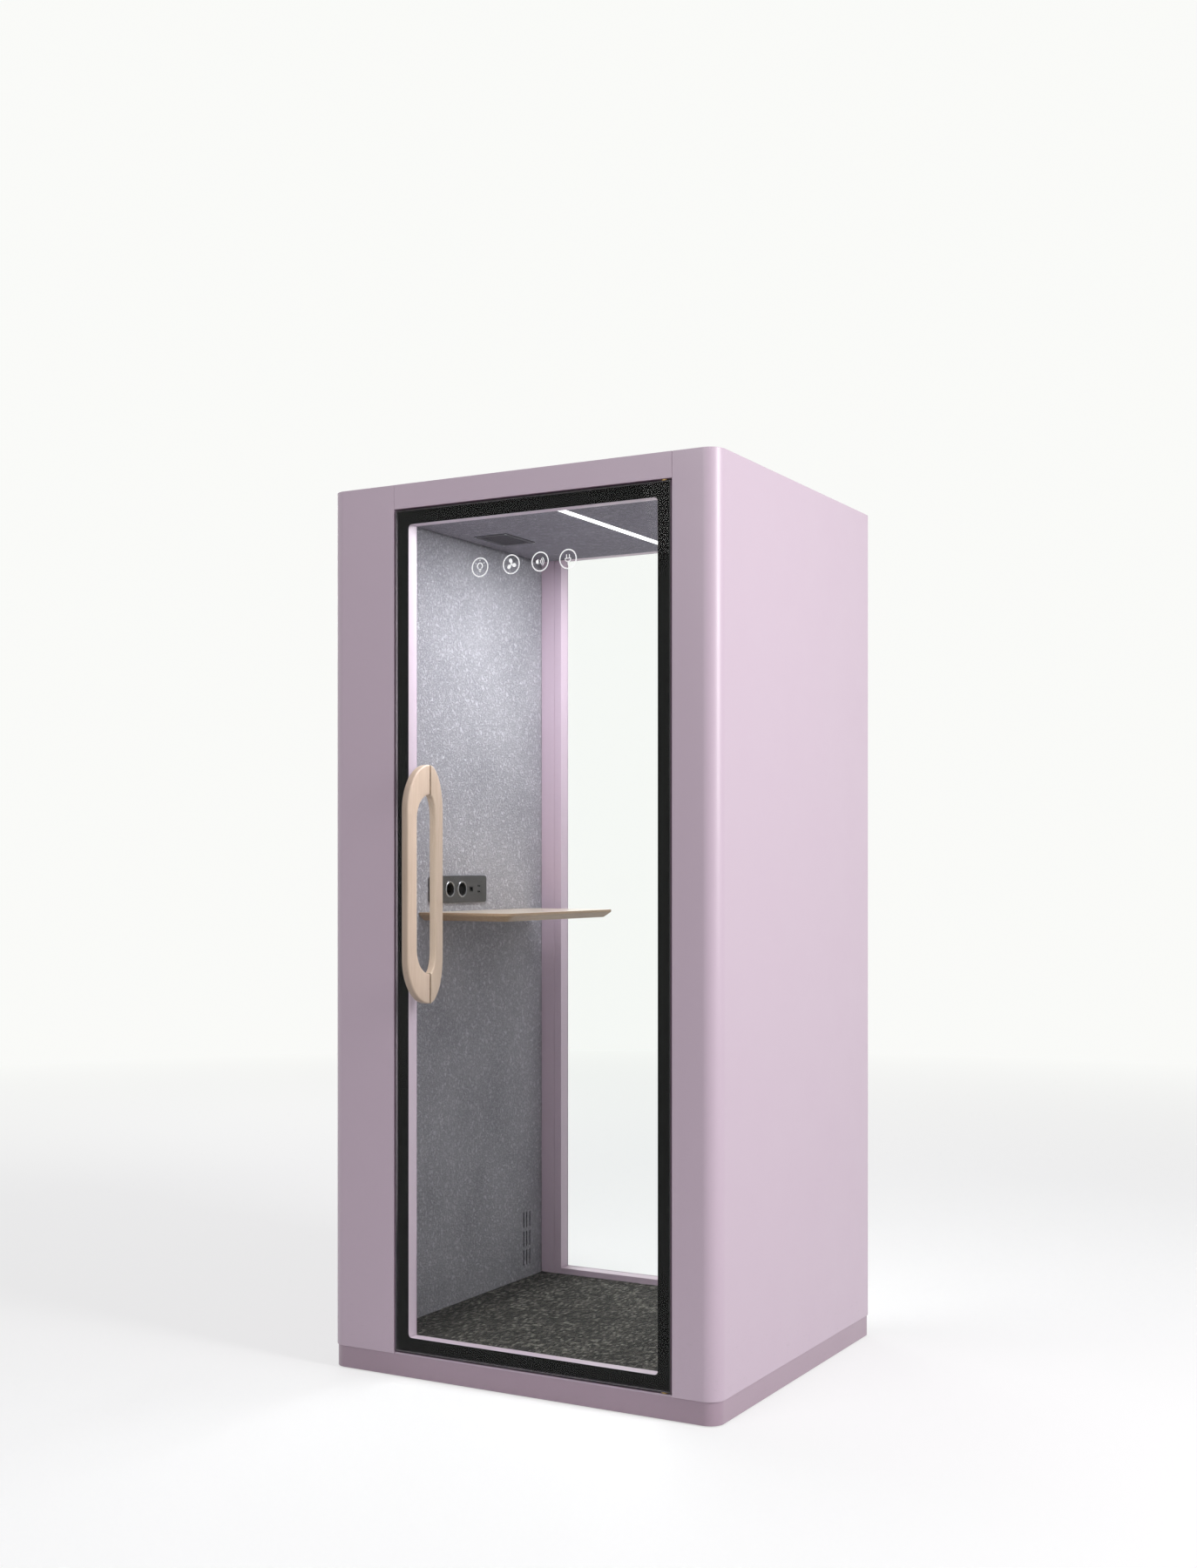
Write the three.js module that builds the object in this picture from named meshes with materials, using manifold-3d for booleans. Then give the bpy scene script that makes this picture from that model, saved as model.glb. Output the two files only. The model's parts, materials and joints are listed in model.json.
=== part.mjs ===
// Acoustic pod for one person: a free-standing booth with a flush glazed swing door on the front,
// a fixed glass pane on the back, felt lining, a shelf with sockets and a lit, ventilated ceiling.
// Millimetres, Z up, the front faces -Y, the origin is on the floor under the centre foot.
import * as THREE from "three";
import { mergeVertices } from "three/addons/utils/BufferGeometryUtils.js";
import Module from "manifold-3d";

const wasm = await Module();
wasm.setup();

// Body of the pod
const podWidth = 1100;
const podDepth = 990;
const podHeight = 2250;
const cornerRadius = 40;
const skin = 3;
const wallThickness = 100;
const frontThickness = 62;
const rearThickness = 100;
const roofThickness = 58;
const feltThickness = 12;
const fit = 0.3;

// Base
const plinthHeight = 58;
const inletDrop = 8;
const inletHeight = 24;
const plinthInset = 3;
const plinthSheet = 3;
const plinthFloorGap = 3;
const baseThickness = 36;
const deckThickness = 20;
const carpetThickness = 7;
const footInset = 95;
const footRadius = 25;
const stemRadius = 6;
const stemGrip = 25;

// Door opening and leaf
const leftReturn = 197;
const rightReturn = 118;
const headerHeight = 62;
const sillRise = 4;
const doorGap = 4;
const leafDepth = 40;
const glassThickness = 8;
const bandThickness = 0.6;
const borderWidth = 36;
const borderCorner = 10;
const leafLip = 3;
const edgeRound = 2.5;
const mitreGap = 0.3;
const stopGap = 4;
const stopInset = 24;
const hingeStopInset = 35.5;
const sealInset = 16;
const hingeSealInset = 29;
const sealWidth = 5;

// Pivots on which the leaf turns
const hingeInset = 20;
const pinCover = 1.4;
const hingeBevel = 12;
const pinRadius = 4;
const pinInLeaf = 40;
const pinInBush = 18;
const bushRadius = 6.5;
const bushFlange = 9;
const bushLength = 22;

// Ring handle of the door
const handleInset = 95;
const handleHeight = 596;
const handleMiddle = 1243;
const handleOut = 94;
const handleIn = 54;
const handleWidth = 20;
const handleRound = 4;
const handleArch = 116;
const gripHeight = 446;
const gripOut = 53.5;
const gripIn = 20;
const gripArch = 62;
const boltSpread = 260;
const boltRadius = 4;
const boltHead = 6.5;

// Rear pane
const rearReturn = 128;
const rearRim = 38;
const seamBeside = 23;
const splayStart = 6.4;
const splayReach = 36;
const splaySill = 17;
const splayHead = 14;
const rearSillFace = 16;
const rearGlassReveal = 41;
const rearGroove = 14;
const rearBite = 10;
const gasketLip = 0.6;

// Roof, light and vents
const coverThickness = 4;
const coverDrop = 2;
const lightWidth = 28;
const lightWall = 2;
const lightHeight = 24;
const lightEndGap = 12;
const ventInset = 105;
const ventBack = 20;
const grilleWidth = 106;
const grilleLength = 156;
const grilleLip = 7;
const grilleSlots = 12;
const fanSize = 120;
const fanDepth = 25;
const fanWall = 2.5;
const fanHub = 20;
const fanBlades = 7;
const driverLength = 160;
const driverWidth = 44;
const driverHeight = 28;

// Shelf
const tableTop = 1165;
const tableReach = 285;
const tableLength = 568;
const tableBackGap = 70;
const tableEdge = 7;
const tableBevel = 15;
const tableUndercut = 22;
const tableCorner = 28;
const bracketSpread = 300;
const bracketReach = 190;

// Socket plate
const plateLength = 285;
const plateHeight = 74;
const plateThickness = 4;
const plateCorner = 8;
const plateStart = -200;
const plateMiddle = 1225;
const socketPitch = 60;
const socketMargin = 40;
const wellRadius = 19;
const wellDepth = 17;
const blockDepth = 42;

// Slits for air in the lining
const slitColumns = 3;
const slitRows = 3;
const slitWidth = 4.6;
const slitHeight = 44;
const slitColumnPitch = 17;
const slitRowPitch = 55;
const slitInset = 105;
const slitBottom = 120;

// Planes and levels that follow from the sizes above
const half = podWidth / 2;
const front = -podDepth / 2;
const back = podDepth / 2;
const inHalf = half - wallThickness;
const ventOffset = inHalf - ventInset;
const inFront = front + frontThickness;
const inBack = back - rearThickness;
const tableMiddle = inBack - tableBackGap - tableLength / 2;
const slitBack = inBack - slitInset;
const behindSkin = skin + fit;
const floorTop = plinthHeight + deckThickness + carpetThickness;
const ceiling = podHeight - roofThickness;
const coverTop = podHeight - coverDrop;
const coverUnder = coverTop - coverThickness;
const openLeft = -half + leftReturn;
const openRight = half - rightReturn;
const openTop = podHeight - headerHeight;
const openBottom = plinthHeight + sillRise;
const leafLeft = openLeft + doorGap;
const leafRight = openRight - doorGap;
const leafTop = openTop - doorGap;
const leafBottom = openBottom + doorGap;
const leafBack = front + leafDepth;
const stopFace = leafBack + stopGap;
const rebate = front + glassThickness + bandThickness + 0.1;
const hingeX = leafRight - hingeInset;
const hingeY = front + glassThickness + bandThickness + pinRadius + pinCover;
const fanDuct = fanSize / 2 - fanWall;
const rearEdge = half - rearReturn;
const rearOpen = rearEdge - rearRim;
const rearSeam = rearOpen + seamBeside;
const rearOpenBottom = floorTop + rearSillFace;
const rearOpenTop = ceiling + 3;
const grooveFront = inBack + rearGlassReveal - 3;
const grooveBack = grooveFront + rearGroove;

// Materials
const paint = (color, roughness, metalness) => {
  return new THREE.MeshStandardMaterial({ color, roughness, metalness });
};
const lilac = paint(0xcbb5c6, 0.55, 0.0);
const darkSteel = paint(0x3b3a3d, 0.5, 0.8);
const brightSteel = paint(0xb9bcc0, 0.3, 1.0);
const silver = paint(0xd4ccd4, 0.4, 0.6);
const bronze = paint(0x9a7a4a, 0.4, 0.9);
const rubber = paint(0x1b1b1c, 0.85, 0.0);
const board = paint(0xb89468, 0.8, 0.0);
const fleece = paint(0x8a8a86, 0.95, 0.0);
const wallFelt = paint(0xa9a7ae, 0.95, 0.0);
const ceilingFelt = paint(0x77727d, 0.95, 0.0);
const carpetPile = paint(0x57534e, 0.98, 0.0);
const blackBand = paint(0x0c0c0d, 0.25, 0.0);
const clearGlass = new THREE.MeshStandardMaterial({
  color: 0xdfe9e6,
  roughness: 0.03,
  metalness: 0.0,
  transparent: true,
  opacity: 0.22,
});
const paleWood = paint(0xdcc3a4, 0.5, 0.0);
const shelfWood = paint(0xb99a74, 0.5, 0.0);
const plateGrey = paint(0x464445, 0.4, 0.2);
const socketBlack = paint(0x222223, 0.5, 0.0);
const opal = new THREE.MeshStandardMaterial({
  color: 0xffffff,
  roughness: 0.4,
  metalness: 0.0,
  emissive: 0xffffff,
  emissiveIntensity: 1.0,
});
const aluminium = paint(0xc9cbcd, 0.35, 0.9);
const grilleGrey = paint(0x4c4a50, 0.6, 0.2);
const fanBlack = paint(0x1f1f21, 0.5, 0.0);
const driverWhite = paint(0xe4e4e0, 0.5, 0.0);

// Solid operations
function solidOf(geometry) {
  const bare = new THREE.BufferGeometry();
  bare.setAttribute("position", geometry.getAttribute("position").clone());
  if (geometry.index) {
    bare.setIndex(geometry.index.clone());
  }
  const merged = mergeVertices(bare, 1e-4);
  const mesh = new wasm.Mesh({
    numProp: 3,
    vertProperties: new Float32Array(merged.getAttribute("position").array),
    triVerts: new Uint32Array(merged.index.array),
  });
  return new wasm.Manifold(mesh);
}

function geometryOf(solid) {
  const mesh = solid.getMesh();
  const geometry = new THREE.BufferGeometry();
  const positions = new Float32Array(mesh.vertProperties);
  geometry.setAttribute("position", new THREE.BufferAttribute(positions, 3));
  geometry.setIndex(new THREE.BufferAttribute(new Uint32Array(mesh.triVerts), 1));
  const flat = geometry.toNonIndexed();
  flat.computeVertexNormals();
  return flat;
}

function cut(geometry, ...tools) {
  let solid = solidOf(geometry);
  for (const tool of tools) {
    solid = solid.subtract(solidOf(tool));
  }
  return geometryOf(solid);
}

function join(geometry, ...others) {
  let solid = solidOf(geometry);
  for (const other of others) {
    solid = solid.add(solidOf(other));
  }
  return geometryOf(solid);
}

function keep(geometry, tool) {
  return geometryOf(solidOf(geometry).intersect(solidOf(tool)));
}

// Basic bodies
function block(x0, x1, y0, y1, z0, z1) {
  const geometry = new THREE.BoxGeometry(x1 - x0, y1 - y0, z1 - z0);
  return geometry.translate((x0 + x1) / 2, (y0 + y1) / 2, (z0 + z1) / 2);
}

function rod(x, y, radius, z0, z1, sides = 24) {
  const geometry = new THREE.CylinderGeometry(radius, radius, z1 - z0, sides);
  return geometry.rotateX(Math.PI / 2).translate(x, y, (z0 + z1) / 2);
}

function rodY(x, z, radius, y0, y1, sides = 24) {
  const geometry = new THREE.CylinderGeometry(radius, radius, y1 - y0, sides);
  return geometry.translate(x, (y0 + y1) / 2, z);
}

function rodX(y, z, radius, x0, x1, sides = 24) {
  const geometry = new THREE.CylinderGeometry(radius, radius, x1 - x0, sides);
  return geometry.rotateZ(Math.PI / 2).translate((x0 + x1) / 2, y, z);
}

function turned(profile, sides = 24) {
  const points = profile.map(([r, z]) => new THREE.Vector2(r, z));
  return new THREE.LatheGeometry(points, sides).rotateX(Math.PI / 2);
}

function outline(points) {
  return new THREE.Shape(points.map(([x, y]) => new THREE.Vector2(x, y)));
}

function roundedRect(x0, y0, x1, y1, radius) {
  const shape = new THREE.Shape();
  shape.moveTo(x0 + radius, y0);
  shape.lineTo(x1 - radius, y0);
  shape.absarc(x1 - radius, y0 + radius, radius, -Math.PI / 2, 0, false);
  shape.lineTo(x1, y1 - radius);
  shape.absarc(x1 - radius, y1 - radius, radius, 0, Math.PI / 2, false);
  shape.lineTo(x0 + radius, y1);
  shape.absarc(x0 + radius, y1 - radius, radius, Math.PI / 2, Math.PI, false);
  shape.lineTo(x0, y0 + radius);
  shape.absarc(x0 + radius, y0 + radius, radius, Math.PI, Math.PI * 1.5, false);
  return shape;
}

function footprint(inset) {
  const radius = cornerRadius - inset;
  return roundedRect(-half + inset, front + inset, half - inset, back - inset, radius);
}

function rectHole(x0, y0, x1, y1) {
  return new THREE.Path([
    new THREE.Vector2(x0, y0),
    new THREE.Vector2(x0, y1),
    new THREE.Vector2(x1, y1),
    new THREE.Vector2(x1, y0),
  ]);
}

function roundHole(x, y, radius, sides) {
  const points = [];
  for (let step = 0; step < sides; step += 1) {
    const angle = (-2 * Math.PI * step) / sides;
    points.push(new THREE.Vector2(x + radius * Math.cos(angle), y + radius * Math.sin(angle)));
  }
  return new THREE.Path(points);
}

function mirrored(shape) {
  const points = shape.getPoints(5);
  return new THREE.Shape(points.map((p) => new THREE.Vector2(-p.x, p.y)));
}

// A plan profile (x, y) raised from z0 to z1.
function rise(shape, z0, z1, curveSegments = 5) {
  const options = { depth: z1 - z0, bevelEnabled: false, curveSegments };
  return new THREE.ExtrudeGeometry(shape, options).translate(0, 0, z0);
}

// A side-view profile (y, z) run from x0 to x1.
function runX(shape, x0, x1, extra = {}) {
  const options = { depth: x1 - x0, bevelEnabled: false, curveSegments: 5, ...extra };
  const turn = new THREE.Matrix4().set(0, 0, 1, x0, 1, 0, 0, 0, 0, 1, 0, 0, 0, 0, 0, 1);
  return new THREE.ExtrudeGeometry(shape, options).applyMatrix4(turn);
}

// A front-view profile (x, z) run from y0 to y1.
function runY(shape, y0, y1, extra = {}) {
  const options = { depth: y1 - y0, bevelEnabled: false, curveSegments: 5, ...extra };
  const turn = new THREE.Matrix4().set(1, 0, 0, 0, 0, 0, -1, y1, 0, 1, 0, 0, 0, 0, 0, 1);
  return new THREE.ExtrudeGeometry(shape, options).applyMatrix4(turn);
}

function piece(group, name, geometry, material) {
  const mesh = new THREE.Mesh(geometry, material);
  mesh.name = name;
  group.add(mesh);
  return mesh;
}

function subgroup(parent, name) {
  const group = new THREE.Group();
  group.name = name;
  parent.add(group);
  return group;
}

const pod = new THREE.Group();
pod.name = "acoustic_pod";

// Base: skirt, board on five feet, deck and carpet
const base = subgroup(pod, "base");
const inletLeft = half - 190;
const inletRight = inletLeft + 32;
const inletTop = plinthHeight - inletDrop;
const inletBottom = inletTop - inletHeight;
const inletHole = block(inletLeft, inletRight, back - 60, back + 5, inletBottom, inletTop);

const skirtShape = footprint(plinthInset);
skirtShape.holes.push(footprint(plinthInset + plinthSheet));
const skirt = cut(rise(skirtShape, plinthFloorGap, plinthHeight), inletHole);
piece(base, "plinth", skirt, lilac);

const footPlaces = [
  ["foot_front_left", -half + footInset, front + footInset],
  ["foot_front_right", half - footInset, front + footInset],
  ["foot_rear_left", -half + footInset, back - footInset],
  ["foot_rear_right", half - footInset, back - footInset],
  ["foot_centre", 0, 0],
];
const boardUnder = plinthHeight - baseThickness;
const stemTop = boardUnder + stemGrip;
const footProfile = [
  [0, 0],
  [footRadius, 0],
  [footRadius, 4],
  [footRadius - 3, 7],
  [9, 9],
  [stemRadius, 10],
  [stemRadius, 13],
  [12, 13],
  [12, boardUnder - fit],
  [stemRadius, boardUnder - fit],
  [stemRadius, stemTop - 1],
  [stemRadius - 1, stemTop],
  [0, stemTop],
];
const bushBase = openBottom - bushLength;
const bushBore = rod(hingeX, hingeY, bushRadius + fit, bushBase - fit, openBottom + 5);
const stemBores = footPlaces.map(([, x, y]) => {
  return rod(x, y, stemRadius + fit, boardUnder - 5, stemTop + fit, 14);
});
const inletPocket = block(
  inletLeft - fit,
  inletRight + fit,
  back - 46,
  back + 5,
  inletBottom - fit,
  inletTop + fit,
);
const boardShape = footprint(plinthInset + plinthSheet + fit);
const baseBoard = cut(rise(boardShape, boardUnder, plinthHeight), bushBore, inletPocket, ...stemBores);
piece(base, "base_board", baseBoard, board);
for (const [name, x, y] of footPlaces) {
  piece(base, name, turned(footProfile, 14), darkSteel).position.set(x, y, 0);
}

const deckTop = plinthHeight + deckThickness;
const deckLeft = -inHalf + fit;
const deckFront = inFront + fit;
const deckBack = inBack - fit;
const deck = block(deckLeft, -deckLeft, deckFront, deckBack, plinthHeight, deckTop);
piece(base, "floor_deck", deck, board);
const carpet = block(deckLeft, -deckLeft, deckFront, deckBack, deckTop, floorTop);
piece(base, "carpet", carpet, carpetPile);

// Mains inlet low on the back: a shrouded recess with three blades
const inletBody = block(
  inletLeft + fit,
  inletRight - fit,
  back - 45,
  back - plinthInset - 1,
  inletBottom + fit,
  inletTop - fit,
);
const inletMiddle = (inletLeft + inletRight) / 2;
const inletLevel = (inletBottom + inletTop) / 2;
const inletRecess = block(
  inletMiddle - 12,
  inletMiddle + 12,
  back - 22,
  back,
  inletLevel - 8,
  inletLevel + 8,
);
const inletBlades = [-7, 0, 7].map((shift) => {
  const lift = shift === 0 ? 2.5 : -2;
  const x = inletMiddle + shift;
  const z = inletLevel + lift;
  return block(x - 1, x + 1, back - 25, back - 9, z - 2, z + 2);
});
piece(base, "power_inlet", join(cut(inletBody, inletRecess), ...inletBlades), socketBlack);

// Walls: bent shells with their cores and linings
const walls = subgroup(pod, "walls");
function shellShape(openEdge) {
  const middle = half - cornerRadius;
  const low = front + cornerRadius;
  const high = back - cornerRadius;
  const inner = cornerRadius - skin;
  const shape = new THREE.Shape();
  shape.moveTo(openEdge, front);
  shape.lineTo(middle, front);
  shape.absarc(middle, low, cornerRadius, -Math.PI / 2, 0, false);
  shape.lineTo(half, high);
  shape.absarc(middle, high, cornerRadius, 0, Math.PI / 2, false);
  shape.lineTo(rearEdge, back);
  shape.lineTo(rearEdge, back - skin);
  shape.lineTo(middle, back - skin);
  shape.absarc(middle, high, inner, Math.PI / 2, 0, true);
  shape.lineTo(half - skin, low);
  shape.absarc(middle, low, inner, 0, -Math.PI / 2, true);
  shape.lineTo(openEdge, front + skin);
  return shape;
}
const leftShell = rise(mirrored(shellShape(-openLeft)), plinthHeight, podHeight);
piece(walls, "left_shell", leftShell, lilac);
piece(walls, "right_shell", rise(shellShape(openRight), plinthHeight, podHeight), lilac);

const coreFront = inFront + fit;
const coreBack = inBack - fit;
const coreOut = half - behindSkin;
const coreIn = inHalf + feltThickness + fit;
const bracketNear = tableMiddle - bracketSpread / 2;
const bracketFar = tableMiddle + bracketSpread / 2;
const armUnder = tableTop - 17;
const armTop = tableTop - 7;
const socketStart = plateStart + 12;
const socketEnd = plateStart + socketMargin + socketPitch * 2 + 28;
const portStart = socketEnd + 2;
const portEnd = plateStart + plateLength - 17;
const blockLow = plateMiddle - 31;
const blockHigh = plateMiddle + 31;
const bracketPocket = block(
  -coreIn - 6.6,
  -coreIn + 5,
  bracketNear - 60 - fit,
  bracketFar + 60 + fit,
  armUnder - 40 - fit,
  armTop + 6 + fit,
);
const blockPocket = block(
  -inHalf - blockDepth - fit,
  -coreIn + 5,
  socketStart - fit,
  portEnd + fit,
  blockLow - fit,
  blockHigh + fit,
);
const leftCore = block(-coreOut, -coreIn, coreFront, coreBack, plinthHeight, coverUnder - fit);
piece(walls, "left_core", cut(leftCore, bracketPocket, blockPocket), fleece);
const rightCore = block(coreIn, coreOut, coreFront, coreBack, plinthHeight, coverUnder - fit);
piece(walls, "right_core", rightCore, fleece);

function slitTools(x0, x1) {
  const tools = [];
  for (let column = 0; column < slitColumns; column += 1) {
    for (let row = 0; row < slitRows; row += 1) {
      const y = slitBack + column * slitColumnPitch;
      const z = slitBottom + row * slitRowPitch;
      tools.push(block(x0, x1, y, y + slitWidth, z, z + slitHeight));
    }
  }
  return tools;
}
const feltOut = inHalf + feltThickness;
const blockHole = block(
  -feltOut - 5,
  -inHalf + 5,
  socketStart - fit,
  portEnd + fit,
  blockLow - fit,
  blockHigh + fit,
);
const armHoles = [bracketNear, bracketFar].map((y) => {
  return block(-feltOut - 5, -inHalf + 5, y - 15 - fit, y + 15 + fit, armUnder - fit, armTop + fit);
});
const leftFelt = block(-feltOut, -inHalf, coreFront, coreBack, plinthHeight, ceiling - fit);
const leftSlits = slitTools(-feltOut - 5, -inHalf + 5);
piece(walls, "left_felt", cut(leftFelt, blockHole, ...armHoles, ...leftSlits), wallFelt);
const rightFelt = block(inHalf, feltOut, coreFront, coreBack, plinthHeight, ceiling - fit);
piece(walls, "right_felt", cut(rightFelt, ...slitTools(inHalf - 5, feltOut + 5)), wallFelt);

// Front frame: jambs, header and threshold with the stop that the leaf closes on
function jambShape(openEdge, stopEdge) {
  const middle = half - cornerRadius;
  const low = front + cornerRadius;
  const shape = new THREE.Shape();
  shape.moveTo(stopEdge, inFront);
  shape.lineTo(stopEdge, stopFace);
  shape.lineTo(openEdge, stopFace);
  shape.lineTo(openEdge, front + behindSkin);
  shape.lineTo(middle, front + behindSkin);
  shape.absarc(middle, low, cornerRadius - behindSkin, -Math.PI / 2, 0, false);
  shape.lineTo(half - behindSkin, inFront);
  return shape;
}
const jambTop = coverUnder - fit;
const leftStopEdge = leafLeft + stopInset;
const rightStopEdge = leafRight - hingeStopInset;
const lipEnd = openTop - fit;
const leftLipEnd = block(openLeft, leftStopEdge + 5, stopFace - 1, inFront + 5, lipEnd, podHeight);
const rightLipEnd = block(rightStopEdge - 5, openRight, stopFace - 1, inFront + 5, lipEnd, podHeight);
const leftJamb = rise(mirrored(jambShape(-openLeft, -leftStopEdge)), plinthHeight, jambTop);
piece(walls, "left_jamb", cut(leftJamb, leftLipEnd), lilac);
const rightJamb = rise(jambShape(openRight, rightStopEdge), plinthHeight, jambTop);
piece(walls, "right_jamb", cut(rightJamb, rightLipEnd), lilac);

const stopTop = leafTop - stopInset;
const headerLine = outline([
  [front, openTop],
  [stopFace, openTop],
  [stopFace, stopTop],
  [inFront, stopTop],
  [inFront, coverUnder - fit],
  [front + behindSkin, coverUnder - fit],
  [front + behindSkin, podHeight],
  [front, podHeight],
]);
const bushRoof = openTop + bushLength - 4;
const headBore = rod(hingeX, hingeY, bushRadius + fit, openTop - 5, bushRoof + fit);
const headerRaw = runX(headerLine, openLeft + fit, openRight - fit);
const headerEnds = [
  block(openLeft - 5, leftStopEdge + fit, stopFace - 1, inFront + 5, stopTop - 5, openTop),
  block(rightStopEdge - fit, openRight + 5, stopFace - 1, inFront + 5, stopTop - 5, openTop),
];
piece(walls, "header", cut(headerRaw, headBore, ...headerEnds), lilac);

const stopSill = leafBottom + stopInset;
const sillLine = outline([
  [front + plinthInset, plinthHeight],
  [inFront, plinthHeight],
  [inFront, stopSill],
  [stopFace, stopSill],
  [stopFace, openBottom],
  [front + plinthInset, openBottom],
]);
const sillRaw = runX(sillLine, openLeft + fit, openRight - fit);
const sillEnds = [
  block(openLeft - 5, leftStopEdge + fit, stopFace - fit, inFront + 5, plinthHeight - 5, stopSill + 5),
  block(rightStopEdge - fit, openRight + 5, stopFace - fit, inFront + 5, plinthHeight - 5, stopSill + 5),
];
piece(walls, "threshold", cut(sillRaw, bushBore, ...sillEnds), silver);

// Rear frame: stiles, rails, pane and gasket
function stileShape() {
  const middle = half - cornerRadius;
  const high = back - cornerRadius;
  const shape = new THREE.Shape();
  shape.moveTo(rearOpen, inBack);
  shape.lineTo(rearOpen, grooveFront);
  shape.lineTo(rearOpen + rearBite, grooveFront);
  shape.lineTo(rearOpen + rearBite, grooveBack);
  shape.lineTo(rearOpen, grooveBack);
  shape.lineTo(rearOpen, back);
  shape.lineTo(rearEdge - fit, back);
  shape.lineTo(rearEdge - fit, back - behindSkin);
  shape.lineTo(middle, back - behindSkin);
  shape.absarc(middle, high, cornerRadius - behindSkin, Math.PI / 2, 0, true);
  shape.lineTo(half - behindSkin, inBack);
  shape.lineTo(rearSeam + 1, inBack);
  shape.lineTo(rearSeam + 1, inBack + 2);
  shape.lineTo(rearSeam - 1, inBack + 2);
  shape.lineTo(rearSeam - 1, inBack);
  return shape;
}
const stileNotch = block(
  -rearEdge + fit,
  rearEdge - fit,
  inBack - 5,
  back + 5,
  rearOpenTop - fit,
  podHeight,
);

// Outside the pane the opening splays wider on all four sides
function splayedBlock(near, far) {
  const geometry = new THREE.BoxGeometry(2, 2, 2);
  const points = geometry.getAttribute("position");
  for (let index = 0; index < points.count; index += 1) {
    const end = points.getY(index) > 0 ? far : near;
    const level = points.getZ(index) > 0 ? end.high : end.low;
    points.setXYZ(index, points.getX(index) * end.half, end.y, level);
  }
  return geometry;
}
const splay = splayedBlock(
  {
    half: rearOpen + splayStart,
    y: grooveBack - 0.01,
    low: rearOpenBottom - 3.5,
    high: rearOpenTop + 3,
  },
  {
    half: rearOpen + splayReach,
    y: back + 0.01,
    low: rearOpenBottom - splaySill,
    high: rearOpenTop + splayHead,
  },
);
const rightStile = cut(rise(stileShape(), plinthHeight, jambTop), stileNotch, splay);
const leftStile = cut(rise(mirrored(stileShape()), plinthHeight, jambTop), stileNotch, splay);
piece(walls, "rear_left_stile", leftStile, lilac);
piece(walls, "rear_right_stile", rightStile, lilac);

const topRailLine = outline([
  [inBack, rearOpenTop],
  [grooveFront, rearOpenTop],
  [grooveFront, rearOpenTop + rearBite],
  [grooveBack, rearOpenTop + rearBite],
  [grooveBack, rearOpenTop],
  [back, rearOpenTop],
  [back, podHeight],
  [back - behindSkin, podHeight],
  [back - behindSkin, coverUnder - fit],
  [inBack, coverUnder - fit],
]);
const topRailEnd = rearEdge - 2 * fit;
piece(walls, "rear_top_rail", cut(runX(topRailLine, -topRailEnd, topRailEnd), splay), lilac);
const bottomRailLine = outline([
  [inBack, plinthHeight],
  [back, plinthHeight],
  [back, rearOpenBottom],
  [grooveBack, rearOpenBottom],
  [grooveBack, rearOpenBottom - rearBite],
  [grooveFront, rearOpenBottom - rearBite],
  [grooveFront, rearOpenBottom],
  [inBack, rearOpenBottom],
]);
const bottomRailEnd = rearOpen - fit;
const bottomRailRaw = runX(bottomRailLine, -bottomRailEnd, bottomRailEnd);
piece(walls, "rear_bottom_rail", cut(bottomRailRaw, splay), lilac);

const paneBite = rearBite - 2;
const paneFront = inBack + rearGlassReveal;
const paneBack = paneFront + glassThickness;
const paneHalf = rearOpen + paneBite;
const paneLow = rearOpenBottom - paneBite;
const paneHigh = rearOpenTop + paneBite;
const pane = block(-paneHalf, paneHalf, paneFront, paneBack, paneLow, paneHigh);
piece(walls, "rear_glass", pane, clearGlass);
const gasketOut = rearBite - fit;
const gasketShape = outline([
  [-rearOpen - gasketOut, rearOpenBottom - gasketOut],
  [rearOpen + gasketOut, rearOpenBottom - gasketOut],
  [rearOpen + gasketOut, rearOpenTop + gasketOut],
  [-rearOpen - gasketOut, rearOpenTop + gasketOut],
]);
gasketShape.holes.push(
  rectHole(
    -rearOpen + gasketLip,
    rearOpenBottom + gasketLip,
    rearOpen - gasketLip,
    rearOpenTop - gasketLip,
  ),
);
const gasketSlot = block(
  -paneHalf - fit,
  paneHalf + fit,
  paneFront - fit,
  paneBack + fit,
  paneLow - fit,
  paneHigh + fit,
);
const gasketFace = block(
  -rearOpen - splayStart + 1,
  rearOpen + splayStart - 1,
  paneBack + fit - 0.01,
  back,
  rearOpenBottom - 2.5,
  rearOpenTop + 2,
);
const gasketRaw = runY(gasketShape, grooveFront + fit, grooveBack - fit);
const gasket = cut(gasketRaw, gasketSlot, gasketFace);
piece(walls, "rear_gasket", gasket, rubber);

// Roof: cover, core, lined ceiling, light and two fans behind grilles
const roof = subgroup(pod, "roof");
const coverSlots = [];
for (const x of [-ventOffset, ventOffset]) {
  for (let slot = -4; slot <= 4; slot += 1) {
    const y = ventBack + slot * 12;
    coverSlots.push(block(x - 50, x + 50, y - 3, y + 3, coverUnder - 5, coverTop + 5));
  }
}
const coverRaw = rise(footprint(behindSkin + fit), coverUnder, coverTop);
piece(roof, "roof_cover", cut(coverRaw, ...coverSlots), lilac);

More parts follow.
